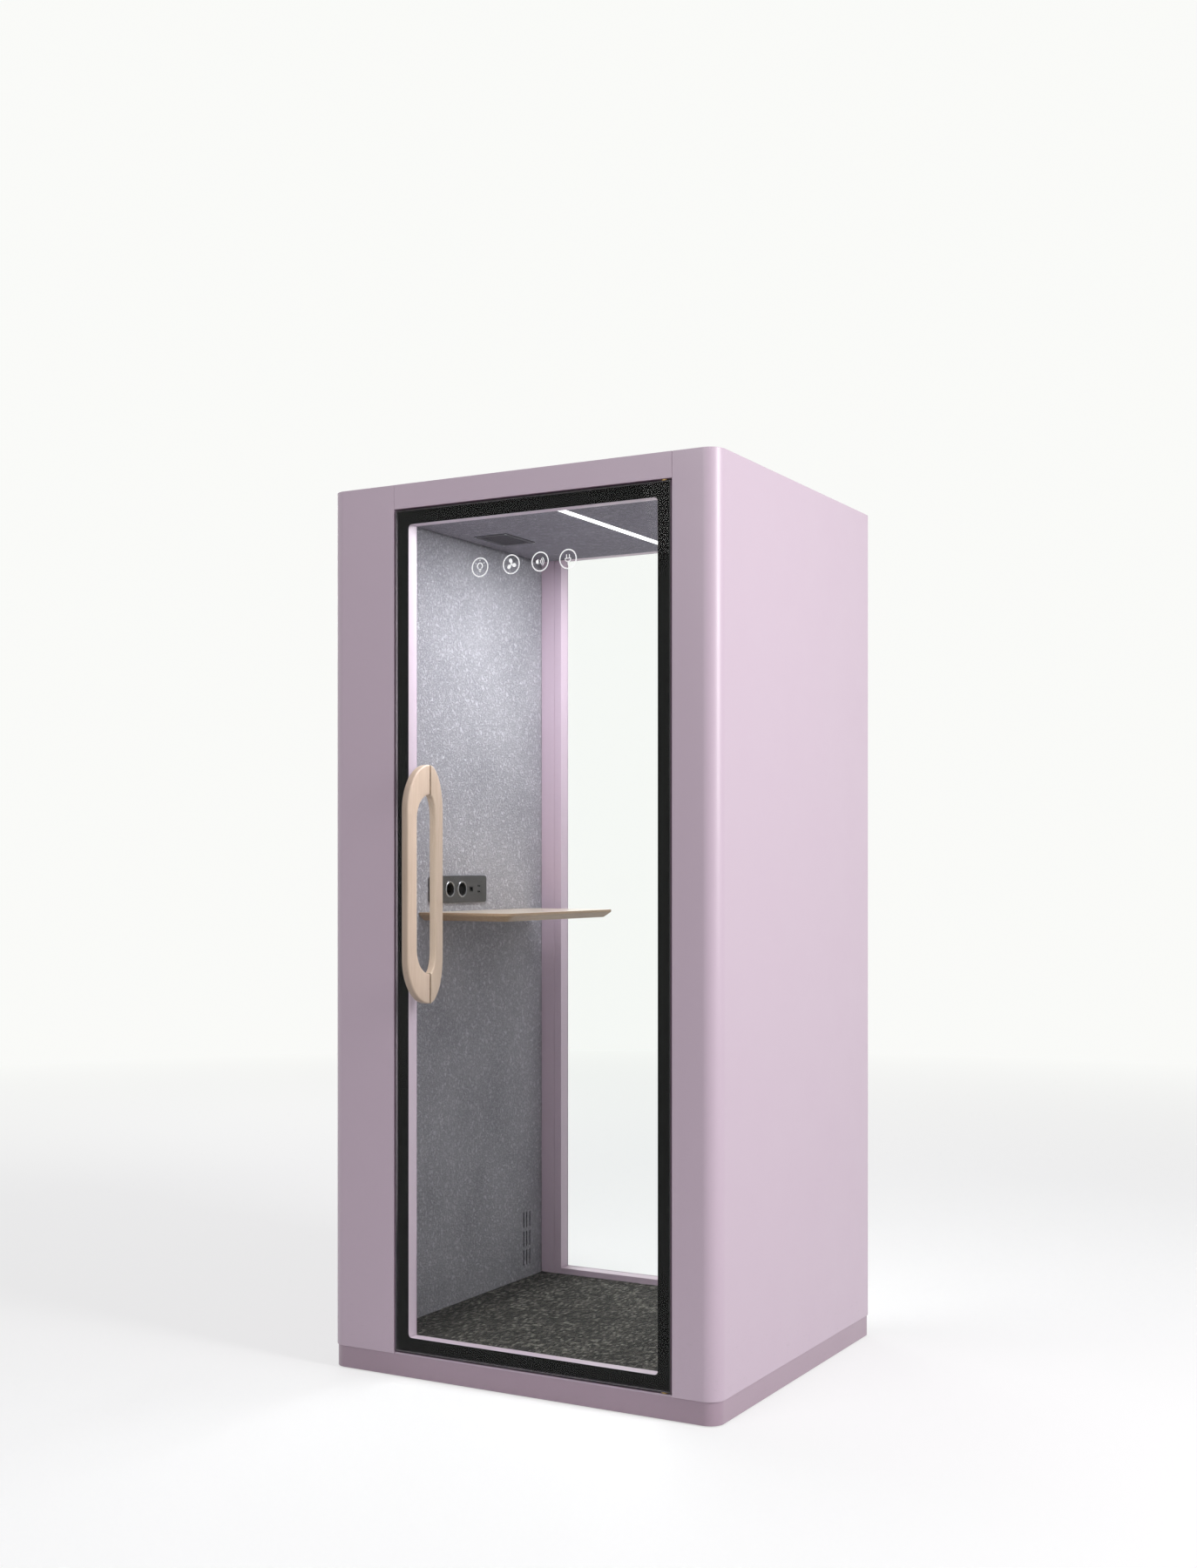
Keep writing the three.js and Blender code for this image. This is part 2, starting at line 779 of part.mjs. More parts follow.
const panelTop = ceiling + feltThickness;
const panelHalf = coreIn - 2 * fit;
const lightFront = inFront + lightEndGap;
const lightBack = inBack - lightEndGap;
const lightHalf = lightWidth / 2;
const throatHalf = grilleWidth / 2 - grilleLip;
const throatReach = grilleLength / 2 - grilleLip;
const panelTools = [
  block(
    -lightHalf - fit,
    lightHalf + fit,
    lightFront - fit,
    lightBack + fit,
    ceiling - 5,
    panelTop + 5,
  ),
];
for (const x of [-ventOffset, ventOffset]) {
  const side = throatHalf + fit;
  const reach = throatReach + fit;
  panelTools.push(
    block(x - side, x + side, ventBack - reach, ventBack + reach, ceiling - 5, panelTop + 5),
  );
}
const panelRaw = block(-panelHalf, panelHalf, coreFront, coreBack, ceiling, panelTop);
piece(roof, "ceiling_panel", cut(panelRaw, ...panelTools), ceilingFelt);

const driverX = 120;
const driverY = front + 250;
const roofCoreTools = [
  block(
    -lightHalf - fit,
    lightHalf + fit,
    lightFront - fit,
    lightBack + fit,
    panelTop - 5,
    ceiling + lightHeight + fit,
  ),
  block(
    driverX - fit,
    driverX + driverLength + fit,
    driverY - fit,
    driverY + driverWidth + fit,
    panelTop - 5,
    panelTop + driverHeight + 2 * fit,
  ),
];
for (const x of [-ventOffset, ventOffset]) {
  const reach = Math.max(fanSize / 2, throatReach) + fit;
  const side = fanSize / 2 + fit;
  roofCoreTools.push(
    block(x - side, x + side, ventBack - reach, ventBack + reach, panelTop - 5, podHeight),
  );
}
const roofCoreRaw = block(-panelHalf, panelHalf, coreFront, coreBack, panelTop + fit, jambTop);
piece(roof, "roof_core", cut(roofCoreRaw, ...roofCoreTools), fleece);

const channelLine = outline([
  [-lightHalf, ceiling],
  [-lightHalf + lightWall, ceiling],
  [-lightHalf + lightWall, ceiling + lightHeight - lightWall],
  [lightHalf - lightWall, ceiling + lightHeight - lightWall],
  [lightHalf - lightWall, ceiling],
  [lightHalf, ceiling],
  [lightHalf, ceiling + lightHeight],
  [-lightHalf, ceiling + lightHeight],
]);
piece(roof, "light_channel", runY(channelLine, lightFront, lightBack), aluminium);
const diffuserHalf = lightHalf - lightWall - fit;
const diffuser = block(-diffuserHalf, diffuserHalf, lightFront, lightBack, ceiling, ceiling + 3);
piece(roof, "light_diffuser", diffuser, opal);
const driverBox = block(
  driverX,
  driverX + driverLength,
  driverY,
  driverY + driverWidth,
  panelTop + fit,
  panelTop + fit + driverHeight,
);
piece(roof, "light_driver", driverBox, driverWhite);

// Grille with crosswise slots and a collar that stands in the ceiling
function grilleGeometry() {
  const plate = roundedRect(-grilleWidth / 2, -grilleLength / 2, grilleWidth / 2, grilleLength / 2, 6);
  const pitch = (2 * throatReach - 12) / grilleSlots;
  const slots = [];
  for (let slot = 0; slot < grilleSlots; slot += 1) {
    const y = -throatReach + 6 + (slot + 0.5) * pitch;
    slots.push(block(-throatHalf + 6, throatHalf - 6, y - 3, y + 3, -5, 5));
  }
  const wall = 2;
  const rim = feltThickness - 1;
  const collar = cut(
    block(-throatHalf, throatHalf, -throatReach, throatReach, -1, rim),
    block(
      -throatHalf + wall,
      throatHalf - wall,
      -throatReach + wall,
      throatReach - wall,
      0,
      rim + 5,
    ),
  );
  return cut(join(rise(plate, -2, 0, 3), collar), ...slots);
}

// Fan frame: square rim, round duct, motor seat on three arms
function fanFrameGeometry() {
  const s = fanSize / 2;
  const rim = roundedRect(-s, -s, s, s, 6);
  rim.holes.push(roundHole(0, 0, fanDuct, 40));
  for (const x of [-s + 8, s - 8]) {
    for (const y of [-s + 8, s - 8]) {
      rim.holes.push(roundHole(x, y, 2.2, 8));
    }
  }
  const seat = rod(0, 0, fanHub + 1, fanDepth - 4, fanDepth);
  const arms = [0, 1, 2].map((index) => {
    const arm = block(fanHub - 3, fanDuct + 1, -2.5, 2.5, fanDepth - 4, fanDepth);
    return arm.rotateZ((index * 2 * Math.PI) / 3 + 0.35);
  });
  const body = join(rise(rim, 0, fanDepth, 3), seat, ...arms);
  return cut(body, rod(0, 0, 2.5 + fit, fanDepth - 9, fanDepth + 5, 16));
}

// Fan rotor: hub, shaft and swept blades that climb round the hub
function fanRotorGeometry() {
  const hubTop = fanDepth - 4.6;
  const parts = [rod(0, 0, 2.5, hubTop - 1, fanDepth - 0.5, 16)];
  const sweep = 0.72;
  for (let blade = 0; blade < fanBlades; blade += 1) {
    const shape = new THREE.Shape();
    const steps = 6;
    for (let step = 0; step <= steps; step += 1) {
      const angle = (sweep * step) / steps;
      const radius = fanDuct - 2;
      const lead = angle + 0.12;
      const point = [radius * Math.cos(lead), radius * Math.sin(lead)];
      if (step === 0) {
        shape.moveTo(...point);
      } else {
        shape.lineTo(...point);
      }
    }
    for (let step = steps; step >= 0; step -= 1) {
      const angle = (sweep * step) / steps;
      shape.lineTo((fanHub - 2) * Math.cos(angle), (fanHub - 2) * Math.sin(angle));
    }
    const flat = rise(shape, 0, 1.6);
    const position = flat.getAttribute("position");
    for (let i = 0; i < position.count; i += 1) {
      const angle = Math.atan2(position.getY(i), position.getX(i));
      position.setZ(i, position.getZ(i) + 3 + angle * 15);
    }
    parts.push(flat.rotateZ((blade * 2 * Math.PI) / fanBlades));
  }
  return join(rod(0, 0, fanHub, 2, hubTop, 28), ...parts);
}

const grilles = grilleGeometry();
const fanFrames = fanFrameGeometry();
const fanRotors = fanRotorGeometry();
const ventSides = [
  ["intake", -ventOffset],
  ["exhaust", ventOffset],
];
for (const [name, x] of ventSides) {
  const vent = subgroup(roof, `${name}_vent`);
  vent.position.set(x, ventBack, ceiling);
  piece(vent, `${name}_grille`, grilles.clone(), grilleGrey);
  piece(vent, `${name}_fan_frame`, fanFrames.clone(), fanBlack).position.z = feltThickness + fit;
  piece(vent, `${name}_fan_rotor`, fanRotors.clone(), fanBlack).position.z = feltThickness + fit;
}

// Shelf on a hidden bracket, and the socket plate above it
const fittings = subgroup(pod, "fittings");
const tableRight = -inHalf + tableReach;
const tableNear = tableMiddle - tableLength / 2;
const tableFar = tableMiddle + tableLength / 2;
const tableShape = roundedRect(-inHalf - 150, tableNear, tableRight, tableFar, tableCorner);
const tableRaw = new THREE.ExtrudeGeometry(tableShape, {
  depth: tableEdge,
  bevelEnabled: true,
  bevelThickness: tableBevel,
  bevelSize: tableUndercut,
  bevelOffset: -tableUndercut,
  bevelSegments: 1,
  curveSegments: 5,
}).translate(0, 0, tableTop - tableEdge);
const tableArea = block(-inHalf + fit, half, front, back, 0, tableTop);
const armPockets = [bracketNear, bracketFar].map((y) => {
  const reach = -inHalf + bracketReach + fit;
  return block(-inHalf - 5, reach, y - 15 - fit, y + 15 + fit, armUnder - fit, armTop + fit);
});
piece(fittings, "table_top", cut(keep(tableRaw, tableArea), ...armPockets), shelfWood);
const bracketPlate = block(
  -coreIn - 6,
  -coreIn,
  bracketNear - 60,
  bracketFar + 60,
  armUnder - 40,
  armTop + 6,
);
const arms = [bracketNear, bracketFar].map((y) => {
  return block(-coreIn - 3, -inHalf + bracketReach, y - 15, y + 15, armUnder, armTop);
});
piece(fittings, "table_bracket", join(bracketPlate, ...arms), darkSteel);

// Socket plate: a bevelled face with three wells, a data port and two small ports
const socketYs = [0, 1, 2].map((index) => plateStart + socketMargin + index * socketPitch);
const dataY = socketYs[2] + 45;
const smallY = dataY + 40;
const plateShape = roundedRect(
  plateStart + 1,
  plateMiddle - plateHeight / 2 + 1,
  plateStart + plateLength - 1,
  plateMiddle + plateHeight / 2 - 1,
  plateCorner,
);
for (const y of socketYs) {
  plateShape.holes.push(roundHole(y, plateMiddle, wellRadius + 1.6, 28));
}
plateShape.holes.push(rectHole(dataY - 8, plateMiddle - 7, dataY + 8, plateMiddle + 7));
for (const lift of [-8, 8]) {
  const z = plateMiddle + lift;
  plateShape.holes.push(rectHole(smallY - 6, z - 3.5, smallY + 6, z + 3.5));
}
const plateEdge = 1;
const plateGeometry = runX(plateShape, -inHalf + fit + plateEdge, -inHalf + plateThickness, {
  depth: plateThickness - fit - 2 * plateEdge,
  bevelEnabled: true,
  bevelThickness: plateEdge,
  bevelSize: plateEdge,
  bevelSegments: 1,
  curveSegments: 7,
});
piece(fittings, "socket_plate", plateGeometry, plateGrey);

const socketTools = [];
for (const y of socketYs) {
  socketTools.push(rodX(y, plateMiddle, wellRadius, -inHalf - wellDepth, -inHalf + 5, 28));
  for (const shift of [-9.5, 9.5]) {
    const floor = -inHalf - wellDepth;
    socketTools.push(rodX(y + shift, plateMiddle, 2.6, floor - 18, floor + 2, 12));
  }
}
const socketBody = block(-inHalf - blockDepth, -inHalf, socketStart, socketEnd, blockLow, blockHigh);
piece(fittings, "socket_block", cut(socketBody, ...socketTools), socketBlack);
const portTools = [
  block(-inHalf - 14, -inHalf + 5, dataY - 6, dataY + 6, plateMiddle - 5, plateMiddle + 4),
  block(-inHalf - 14, -inHalf + 5, dataY - 2, dataY + 2, plateMiddle + 3, plateMiddle + 6),
];
for (const lift of [-8, 8]) {
  const z = plateMiddle + lift;
  portTools.push(block(-inHalf - 9, -inHalf + 5, smallY - 4.6, smallY + 4.6, z - 2.2, z + 2.2));
}
const portBody = block(-inHalf - blockDepth, -inHalf, portStart, portEnd, blockLow, blockHigh);
piece(fittings, "port_block", cut(portBody, ...portTools), socketBlack);

// Door fittings on the pod: bushes, seal and magnet catch
const bushProfile = [
  [pinRadius + fit, bushBase],
  [bushRadius, bushBase],
  [bushRadius, openBottom + 0.1],
  [bushFlange, openBottom + 0.1],
  [bushFlange, leafBottom - fit],
  [pinRadius + fit, leafBottom - fit],
  [pinRadius + fit, bushBase],
];
piece(walls, "pivot_bush_bottom", turned(bushProfile, 16), bronze).position.set(hingeX, hingeY, 0);
const headBushProfile = [
  [pinRadius + fit, leafTop + fit],
  [bushFlange, leafTop + fit],
  [bushFlange, openTop - 0.1],
  [bushRadius, openTop - 0.1],
  [bushRadius, bushRoof],
  [pinRadius + fit, bushRoof],
  [pinRadius + fit, leafTop + fit],
];
piece(walls, "pivot_bush_top", turned(headBushProfile, 16), bronze).position.set(hingeX, hingeY, 0);

const sealRound = 1;
const sealShape = outline([
  [leafLeft + sealInset + sealRound, leafBottom + sealInset + sealRound],
  [leafRight - hingeSealInset - sealRound, leafBottom + sealInset + sealRound],
  [leafRight - hingeSealInset - sealRound, leafTop - sealInset - sealRound],
  [leafLeft + sealInset + sealRound, leafTop - sealInset - sealRound],
]);
sealShape.holes.push(
  rectHole(
    leafLeft + sealInset + sealWidth - sealRound,
    leafBottom + sealInset + sealWidth - sealRound,
    leafRight - hingeSealInset - sealWidth + sealRound,
    leafTop - sealInset - sealWidth + sealRound,
  ),
);
const sealDepth = stopGap - 2 * fit;
const seal = runY(sealShape, 0, stopFace - fit - sealRound, {
  depth: sealDepth - 2 * sealRound,
  bevelEnabled: true,
  bevelThickness: sealRound,
  bevelSize: sealRound,
  bevelSegments: 2,
});
piece(walls, "door_seal", seal, rubber);
const catchTop = leafTop - 60;
const magnet = block(
  leafLeft + 3,
  leafLeft + sealInset - 2,
  leafBack + 0.8,
  stopFace - fit,
  catchTop - 70,
  catchTop,
);
piece(walls, "magnet_catch", magnet, darkSteel);

// Door leaf, drawn in the pod's frame and hung in a group on the pivot axis
const door = subgroup(pod, "door");
door.position.set(hingeX, hingeY, 0);
function doorPiece(name, geometry, material) {
  return piece(door, name, geometry.translate(-hingeX, -hingeY, 0), material);
}

// Frame profile: d is the distance in from the leaf's edge, y the depth
function leafProfile() {
  const points = [];
  for (let step = 0; step <= 4; step += 1) {
    const angle = Math.PI + (step * Math.PI) / 8;
    const d = edgeRound + edgeRound * Math.cos(angle);
    const y = front + edgeRound + edgeRound * Math.sin(angle);
    points.push([d, y]);
  }
  points.push([leafLip, front]);
  points.push([leafLip, rebate]);
  points.push([borderWidth, rebate]);
  points.push([borderWidth, leafBack]);
  points.push([0, leafBack]);
  return points;
}
const profile = leafProfile();
const lockLine = outline(profile.map(([d, y]) => [leafLeft + d, y]));
const hingeLine = outline(profile.map(([d, y]) => [leafRight - d, y]));
const topLine = outline(profile.map(([d, y]) => [y, leafTop - d]));
const bottomLine = outline(profile.map(([d, y]) => [y, leafBottom + d]));
const w = borderWidth;
const m = mitreGap;
const lockMitre = outline([
  [leafLeft - 1, leafBottom + m - 1],
  [leafLeft + w + 1, leafBottom + w + m + 1],
  [leafLeft + w + 1, leafTop - w - m - 1],
  [leafLeft - 1, leafTop - m + 1],
]);
const hingeMitre = outline([
  [leafRight + 1, leafBottom + m - 1],
  [leafRight + 1, leafTop - m + 1],
  [leafRight - w - 1, leafTop - w - m - 1],
  [leafRight - w - 1, leafBottom + w + m + 1],
]);
const topMitre = outline([
  [leafLeft + m - 1, leafTop + 1],
  [leafLeft + w + m + 1, leafTop - w - 1],
  [leafRight - w - m - 1, leafTop - w - 1],
  [leafRight - m + 1, leafTop + 1],
]);
const bottomMitre = outline([
  [leafLeft + m - 1, leafBottom - 1],
  [leafRight - m + 1, leafBottom - 1],
  [leafRight - w - m - 1, leafBottom + w + 1],
  [leafLeft + w + m + 1, leafBottom + w + 1],
]);
function mitred(bar, mitre) {
  return keep(bar, runY(mitre, front - 5, leafBack + 5));
}
const bevelTool = rise(
  outline([
    [leafRight - hingeBevel, leafBack + 5],
    [leafRight - hingeBevel, leafBack],
    [leafRight, leafBack - hingeBevel],
    [leafRight + 5, leafBack - hingeBevel],
    [leafRight + 5, leafBack + 5],
  ]),
  leafBottom - 5,
  leafTop + 5,
);
const lowPinBore = rod(hingeX, hingeY, pinRadius + fit, leafBottom - 5, leafBottom + pinInLeaf + fit);
const highPinBore = rod(hingeX, hingeY, pinRadius + fit, leafTop - pinInLeaf - fit, leafTop + 5);
const lockBar = mitred(rise(lockLine, leafBottom, leafTop), lockMitre);
const hingeBar = mitred(rise(hingeLine, leafBottom, leafTop), hingeMitre);
const topBar = mitred(runX(topLine, leafLeft, leafRight), topMitre);
const bottomBar = mitred(runX(bottomLine, leafLeft, leafRight), bottomMitre);
doorPiece("door_lock_stile", lockBar, silver);
doorPiece("door_hinge_stile", cut(hingeBar, bevelTool, lowPinBore, highPinBore), silver);
doorPiece("door_top_rail", cut(topBar, bevelTool, highPinBore), silver);
doorPiece("door_bottom_rail", cut(bottomBar, bevelTool, lowPinBore), silver);

const handleX = leafLeft + handleInset;
const boltLevels = [handleMiddle - boltSpread, handleMiddle + boltSpread];
const glassEdge = leafLip + fit;
const glassRaw = block(
  leafLeft + glassEdge,
  leafRight - glassEdge,
  front,
  front + glassThickness,
  leafBottom + glassEdge,
  leafTop - glassEdge,
);
const glassBores = boltLevels.map((z) => {
  return rodY(handleX, z, boltRadius + 2, front - 5, front + glassThickness + 5);
});
doorPiece("door_glass", cut(glassRaw, ...glassBores), clearGlass);
const bandShape = outline([
  [leafLeft + glassEdge, leafBottom + glassEdge],
  [leafRight - glassEdge, leafBottom + glassEdge],
  [leafRight - glassEdge, leafTop - glassEdge],
  [leafLeft + glassEdge, leafTop - glassEdge],
]);
bandShape.holes.push(
  roundedRect(
    leafLeft + borderWidth,
    leafBottom + borderWidth,
    leafRight - borderWidth,
    leafTop - borderWidth,
    borderCorner,
  ),
);
const bandFront = front + glassThickness + 0.05;
doorPiece("door_band", runY(bandShape, bandFront, bandFront + bandThickness), blackBand);

const lowPin = [
  [0, leafBottom - pinInBush],
  [pinRadius - 1, leafBottom - pinInBush],
  [pinRadius, leafBottom - pinInBush + 1],
  [pinRadius, leafBottom + pinInLeaf],
  [0, leafBottom + pinInLeaf],
];
piece(door, "pivot_pin_bottom", turned(lowPin, 16), brightSteel);
const highPin = [
  [0, leafTop - pinInLeaf],
  [pinRadius, leafTop - pinInLeaf],
  [pinRadius, leafTop + pinInBush - 1],
  [pinRadius - 1, leafTop + pinInBush],
  [0, leafTop + pinInBush],
];
piece(door, "pivot_pin_top", turned(highPin, 16), brightSteel);

// Ring handle: one rounded wooden ring set edge-on to the glass and parted by it into two halves
function ringPath(path, outY, inY, height, arch) {
  const middleY = front + glassThickness / 2;
  const high = handleMiddle + height / 2 - arch;
  const low = handleMiddle - height / 2 + arch;
  path.moveTo(middleY, handleMiddle + height / 2);
  path.absellipse(middleY, high, middleY - outY, arch, Math.PI / 2, Math.PI, false, 0);
  path.lineTo(outY, low);
  path.absellipse(middleY, low, middleY - outY, arch, Math.PI, Math.PI * 1.5, false, 0);
  path.absellipse(middleY, low, inY - middleY, arch, Math.PI * 1.5, Math.PI * 2, false, 0);
  path.lineTo(inY, high);
  path.absellipse(middleY, high, inY - middleY, arch, 0, Math.PI / 2, false, 0);
  return path;
}
const glassBack = front + glassThickness;
const ring = ringPath(new THREE.Shape(), front - handleOut, glassBack + handleIn, handleHeight, handleArch);
ring.holes.push(ringPath(new THREE.Path(), front - gripOut, glassBack + gripIn, gripHeight, gripArch));
const handleRaw = runX(ring, handleX - handleWidth / 2 + handleRound, 0, {
  depth: handleWidth - 2 * handleRound,
  bevelEnabled: true,
  bevelThickness: handleRound,
  bevelSize: handleRound,
  bevelOffset: -handleRound,
  bevelSegments: 3,
  curveSegments: 7,
});
const handleLow = handleMiddle - handleHeight;
const handleHigh = handleMiddle + handleHeight;
const beyond = 300;
const outerSpace = block(
  handleX - beyond,
  handleX + beyond,
  front - beyond,
  front - fit,
  handleLow,
  handleHigh,
);
const innerSpace = block(
  handleX - beyond,
  handleX + beyond,
  glassBack + fit,
  glassBack + beyond,
  handleLow,
  handleHigh,
);
const boltTip = front - 38;
const headSeat = glassBack + 24;
const boltBores = boltLevels.map((z) => {
  return rodY(handleX, z, boltRadius + fit, boltTip - fit, glassBack + 80, 16);
});
const headBores = boltLevels.map((z) => {
  return rodY(handleX, z, boltHead + fit, headSeat, glassBack + 80, 20);
});
doorPiece("handle_outer", cut(keep(handleRaw, outerSpace), ...boltBores), paleWood);
doorPiece("handle_inner", cut(keep(handleRaw, innerSpace), ...boltBores, ...headBores), paleWood);
const boltNames = ["handle_bolt_lower", "handle_bolt_upper"];
boltLevels.forEach((z, index) => {
  const shank = rodY(handleX, z, boltRadius, boltTip, headSeat + 2, 16);
  const head = rodY(handleX, z, boltHead, headSeat + fit, headSeat + 8, 20);
  const key = rodY(handleX, z, 3, headSeat + 4, headSeat + 12, 6);
  doorPiece(boltNames[index], cut(join(shank, head), key), brightSteel);
});

export default pod;
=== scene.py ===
import json
import math

import bmesh
import bpy
from mathutils import Matrix, Vector, noise

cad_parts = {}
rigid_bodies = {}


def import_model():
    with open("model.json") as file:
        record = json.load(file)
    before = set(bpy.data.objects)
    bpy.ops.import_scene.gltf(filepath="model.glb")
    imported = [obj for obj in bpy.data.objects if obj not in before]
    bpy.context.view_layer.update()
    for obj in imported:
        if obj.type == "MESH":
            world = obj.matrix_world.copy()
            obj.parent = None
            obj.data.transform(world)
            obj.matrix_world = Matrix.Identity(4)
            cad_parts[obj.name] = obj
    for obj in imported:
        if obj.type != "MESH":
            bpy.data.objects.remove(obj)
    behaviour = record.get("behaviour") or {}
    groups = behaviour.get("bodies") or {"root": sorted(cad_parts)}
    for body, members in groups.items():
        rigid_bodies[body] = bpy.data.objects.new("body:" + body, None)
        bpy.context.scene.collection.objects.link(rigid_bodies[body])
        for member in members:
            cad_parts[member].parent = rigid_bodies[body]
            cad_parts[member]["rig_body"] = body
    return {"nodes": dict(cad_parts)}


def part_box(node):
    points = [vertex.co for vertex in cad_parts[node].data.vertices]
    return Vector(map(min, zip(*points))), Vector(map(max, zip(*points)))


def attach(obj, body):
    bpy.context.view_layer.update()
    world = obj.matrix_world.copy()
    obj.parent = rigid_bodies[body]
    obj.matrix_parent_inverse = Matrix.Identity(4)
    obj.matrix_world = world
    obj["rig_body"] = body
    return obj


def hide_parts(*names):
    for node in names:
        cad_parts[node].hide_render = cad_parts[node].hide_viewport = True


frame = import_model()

scene = bpy.context.scene
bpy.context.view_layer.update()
mm = 0.001
podNodes = frame["nodes"]

# camera: level, seen from the right of the door, a little below eye height
cameraSet = {
    "place": (2.3447, -4.2769, 1.2870),
    "turn": 29.12,
    "lens": 42.0,
    "lift": 0.0527,
}
cameraData = bpy.data.cameras.new("podCamera")
cameraData.sensor_fit = "VERTICAL"
cameraData.sensor_height = 36.0
cameraData.lens = cameraSet["lens"]
cameraData.shift_y = cameraSet["lift"]
cameraData.clip_end = 400.0
podCamera = bpy.data.objects.new("podCamera", cameraData)
podCamera.location = cameraSet["place"]
podCamera.rotation_euler = (math.radians(90.0), 0.0, math.radians(cameraSet["turn"]))
scene.collection.objects.link(podCamera)
scene.camera = podCamera
scene.view_settings.view_transform = "Standard"
print("camera set")


# node helpers: each new node takes the next place on a grid
nodeStep = (220, -240)


def addNode(tree, kind, **values):
    node = tree.nodes.new(kind)
    node.location = (nodeStep[0] * (len(tree.nodes) % 8), nodeStep[1] * (len(tree.nodes) // 8))
    for key, value in values.items():
        setattr(node, key, value)
    return node


def setInputs(node, **values):
    for key, value in values.items():
        node.inputs[key.replace("_", " ")].default_value = value


# a socket takes a constant or another node's result
def feed(tree, value, socket):
    if isinstance(value, (int, float, tuple)):
        socket.default_value = value
    else:
        tree.links.new(value, socket)


def objectPlace(tree):
    return addNode(tree, "ShaderNodeTexCoord").outputs["Object"]


def startGroup(name, inputs):
    tree = bpy.data.node_groups.new(name, "ShaderNodeTree")
    for label, kind, value in inputs:
        socket = tree.interface.new_socket(label, in_out="INPUT", socket_type="NodeSocket" + kind)
        socket.default_value = value
    for label, kind in (("Colour", "Color"), ("Roughness", "Float"), ("Height", "Float")):
        tree.interface.new_socket(label, in_out="OUTPUT", socket_type="NodeSocket" + kind)
    return tree, addNode(tree, "NodeGroupInput").outputs


# every effect gives a colour, a roughness and a height
def endGroup(tree, **results):
    leave = addNode(tree, "NodeGroupOutput")
    for label, value in results.items():
        tree.links.new(value, leave.inputs[label])
    return tree


def noiseNode(tree, vector, scale, detail, rough, distortion=0.0):
    node = addNode(tree, "ShaderNodeTexNoise")
    setInputs(node, Detail=detail, Roughness=rough, Distortion=distortion)
    feed(tree, scale, node.inputs["Scale"])
    tree.links.new(vector, node.inputs["Vector"])
    return node.outputs["Fac"]


def stretched(tree, vector, scale):
    node = addNode(tree, "ShaderNodeMapping")
    node.inputs["Scale"].default_value = scale
    tree.links.new(vector, node.inputs["Vector"])
    return node.outputs["Vector"]


def spread(tree, value, low, high, toLow, toHigh):
    node = addNode(tree, "ShaderNodeMapRange")
    for index, number in enumerate((low, high, toLow, toHigh)):
        node.inputs[index + 1].default_value = number
    tree.links.new(value, node.inputs[0])
    return node.outputs[0]


def sums(tree, kind, first, second=0.0):
    node = addNode(tree, "ShaderNodeMath", operation=kind)
    feed(tree, first, node.inputs[0])
    feed(tree, second, node.inputs[1])
    return node.outputs[0]


def times(tree, first, second):
    return sums(tree, "MULTIPLY", first, second)


def plus(tree, first, second):
    return sums(tree, "ADD", first, second)


def vectorNode(tree, kind, vector):
    node = addNode(tree, "ShaderNodeVectorMath", operation=kind)
    tree.links.new(vector, node.inputs[0])
    return node


def scaled(tree, vector, amount):
    node = vectorNode(tree, "SCALE", vector)
    feed(tree, amount, node.inputs["Scale"])
    return node.outputs[0]


def blendColour(tree, amount, first, second, way="MIX"):
    node = addNode(tree, "ShaderNodeMix", data_type="RGBA", blend_type=way)
    for index, value in ((0, amount), (6, first), (7, second)):
        feed(tree, value, node.inputs[index])
    return node.outputs[2]


# powder coat: fine peel, slow tone drift, grey scuffs near the floor
def paintGroup():
    tree, given = startGroup(
        "powderCoat",
        [("Colour", "Color", (0.6, 0.46, 0.56, 1)), ("Drift", "Float", 0.05), ("Rough", "Float", 0.42),
         ("Peel Scale", "Float", 700.0), ("Scuff", "Float", 0.5)],
    )
    place = objectPlace(tree)
    drift = noiseNode(tree, place, 2.6, 4, 0.55)
    shade = blendColour(tree, 0.5, given["Colour"], (0.5, 0.5, 0.5, 1), "SOFT_LIGHT")
    driftAmount = times(tree, drift, given["Drift"])
    coat = blendColour(tree, driftAmount, given["Colour"], shade)
    height = addNode(tree, "ShaderNodeSeparateXYZ")
    tree.links.new(place, height.inputs[0])
    nearFloor = spread(tree, height.outputs["Z"], 0.02, 0.28, 1.0, 0.0)
    streaks = noiseNode(tree, stretched(tree, place, (30, 30, 140)), 1.0, 5, 0.7)
    scuffs = spread(tree, streaks, 0.6, 0.78, 0.0, 1.0)
    scuffMask = times(tree, times(tree, nearFloor, scuffs), given["Scuff"])
    dusty = blendColour(tree, scuffMask, coat, (0.33, 0.29, 0.31, 1))
    peel = noiseNode(tree, place, given["Peel Scale"], 2, 0.5)
    hands = noiseNode(tree, place, 7.0, 6, 0.6)
    rough = plus(tree, given["Rough"], spread(tree, hands, 0.3, 0.7, -0.05, 0.06))
    rougher = plus(tree, rough, times(tree, scuffMask, 0.25))
    return endGroup(tree, Colour=dusty, Roughness=rougher, Height=peel)


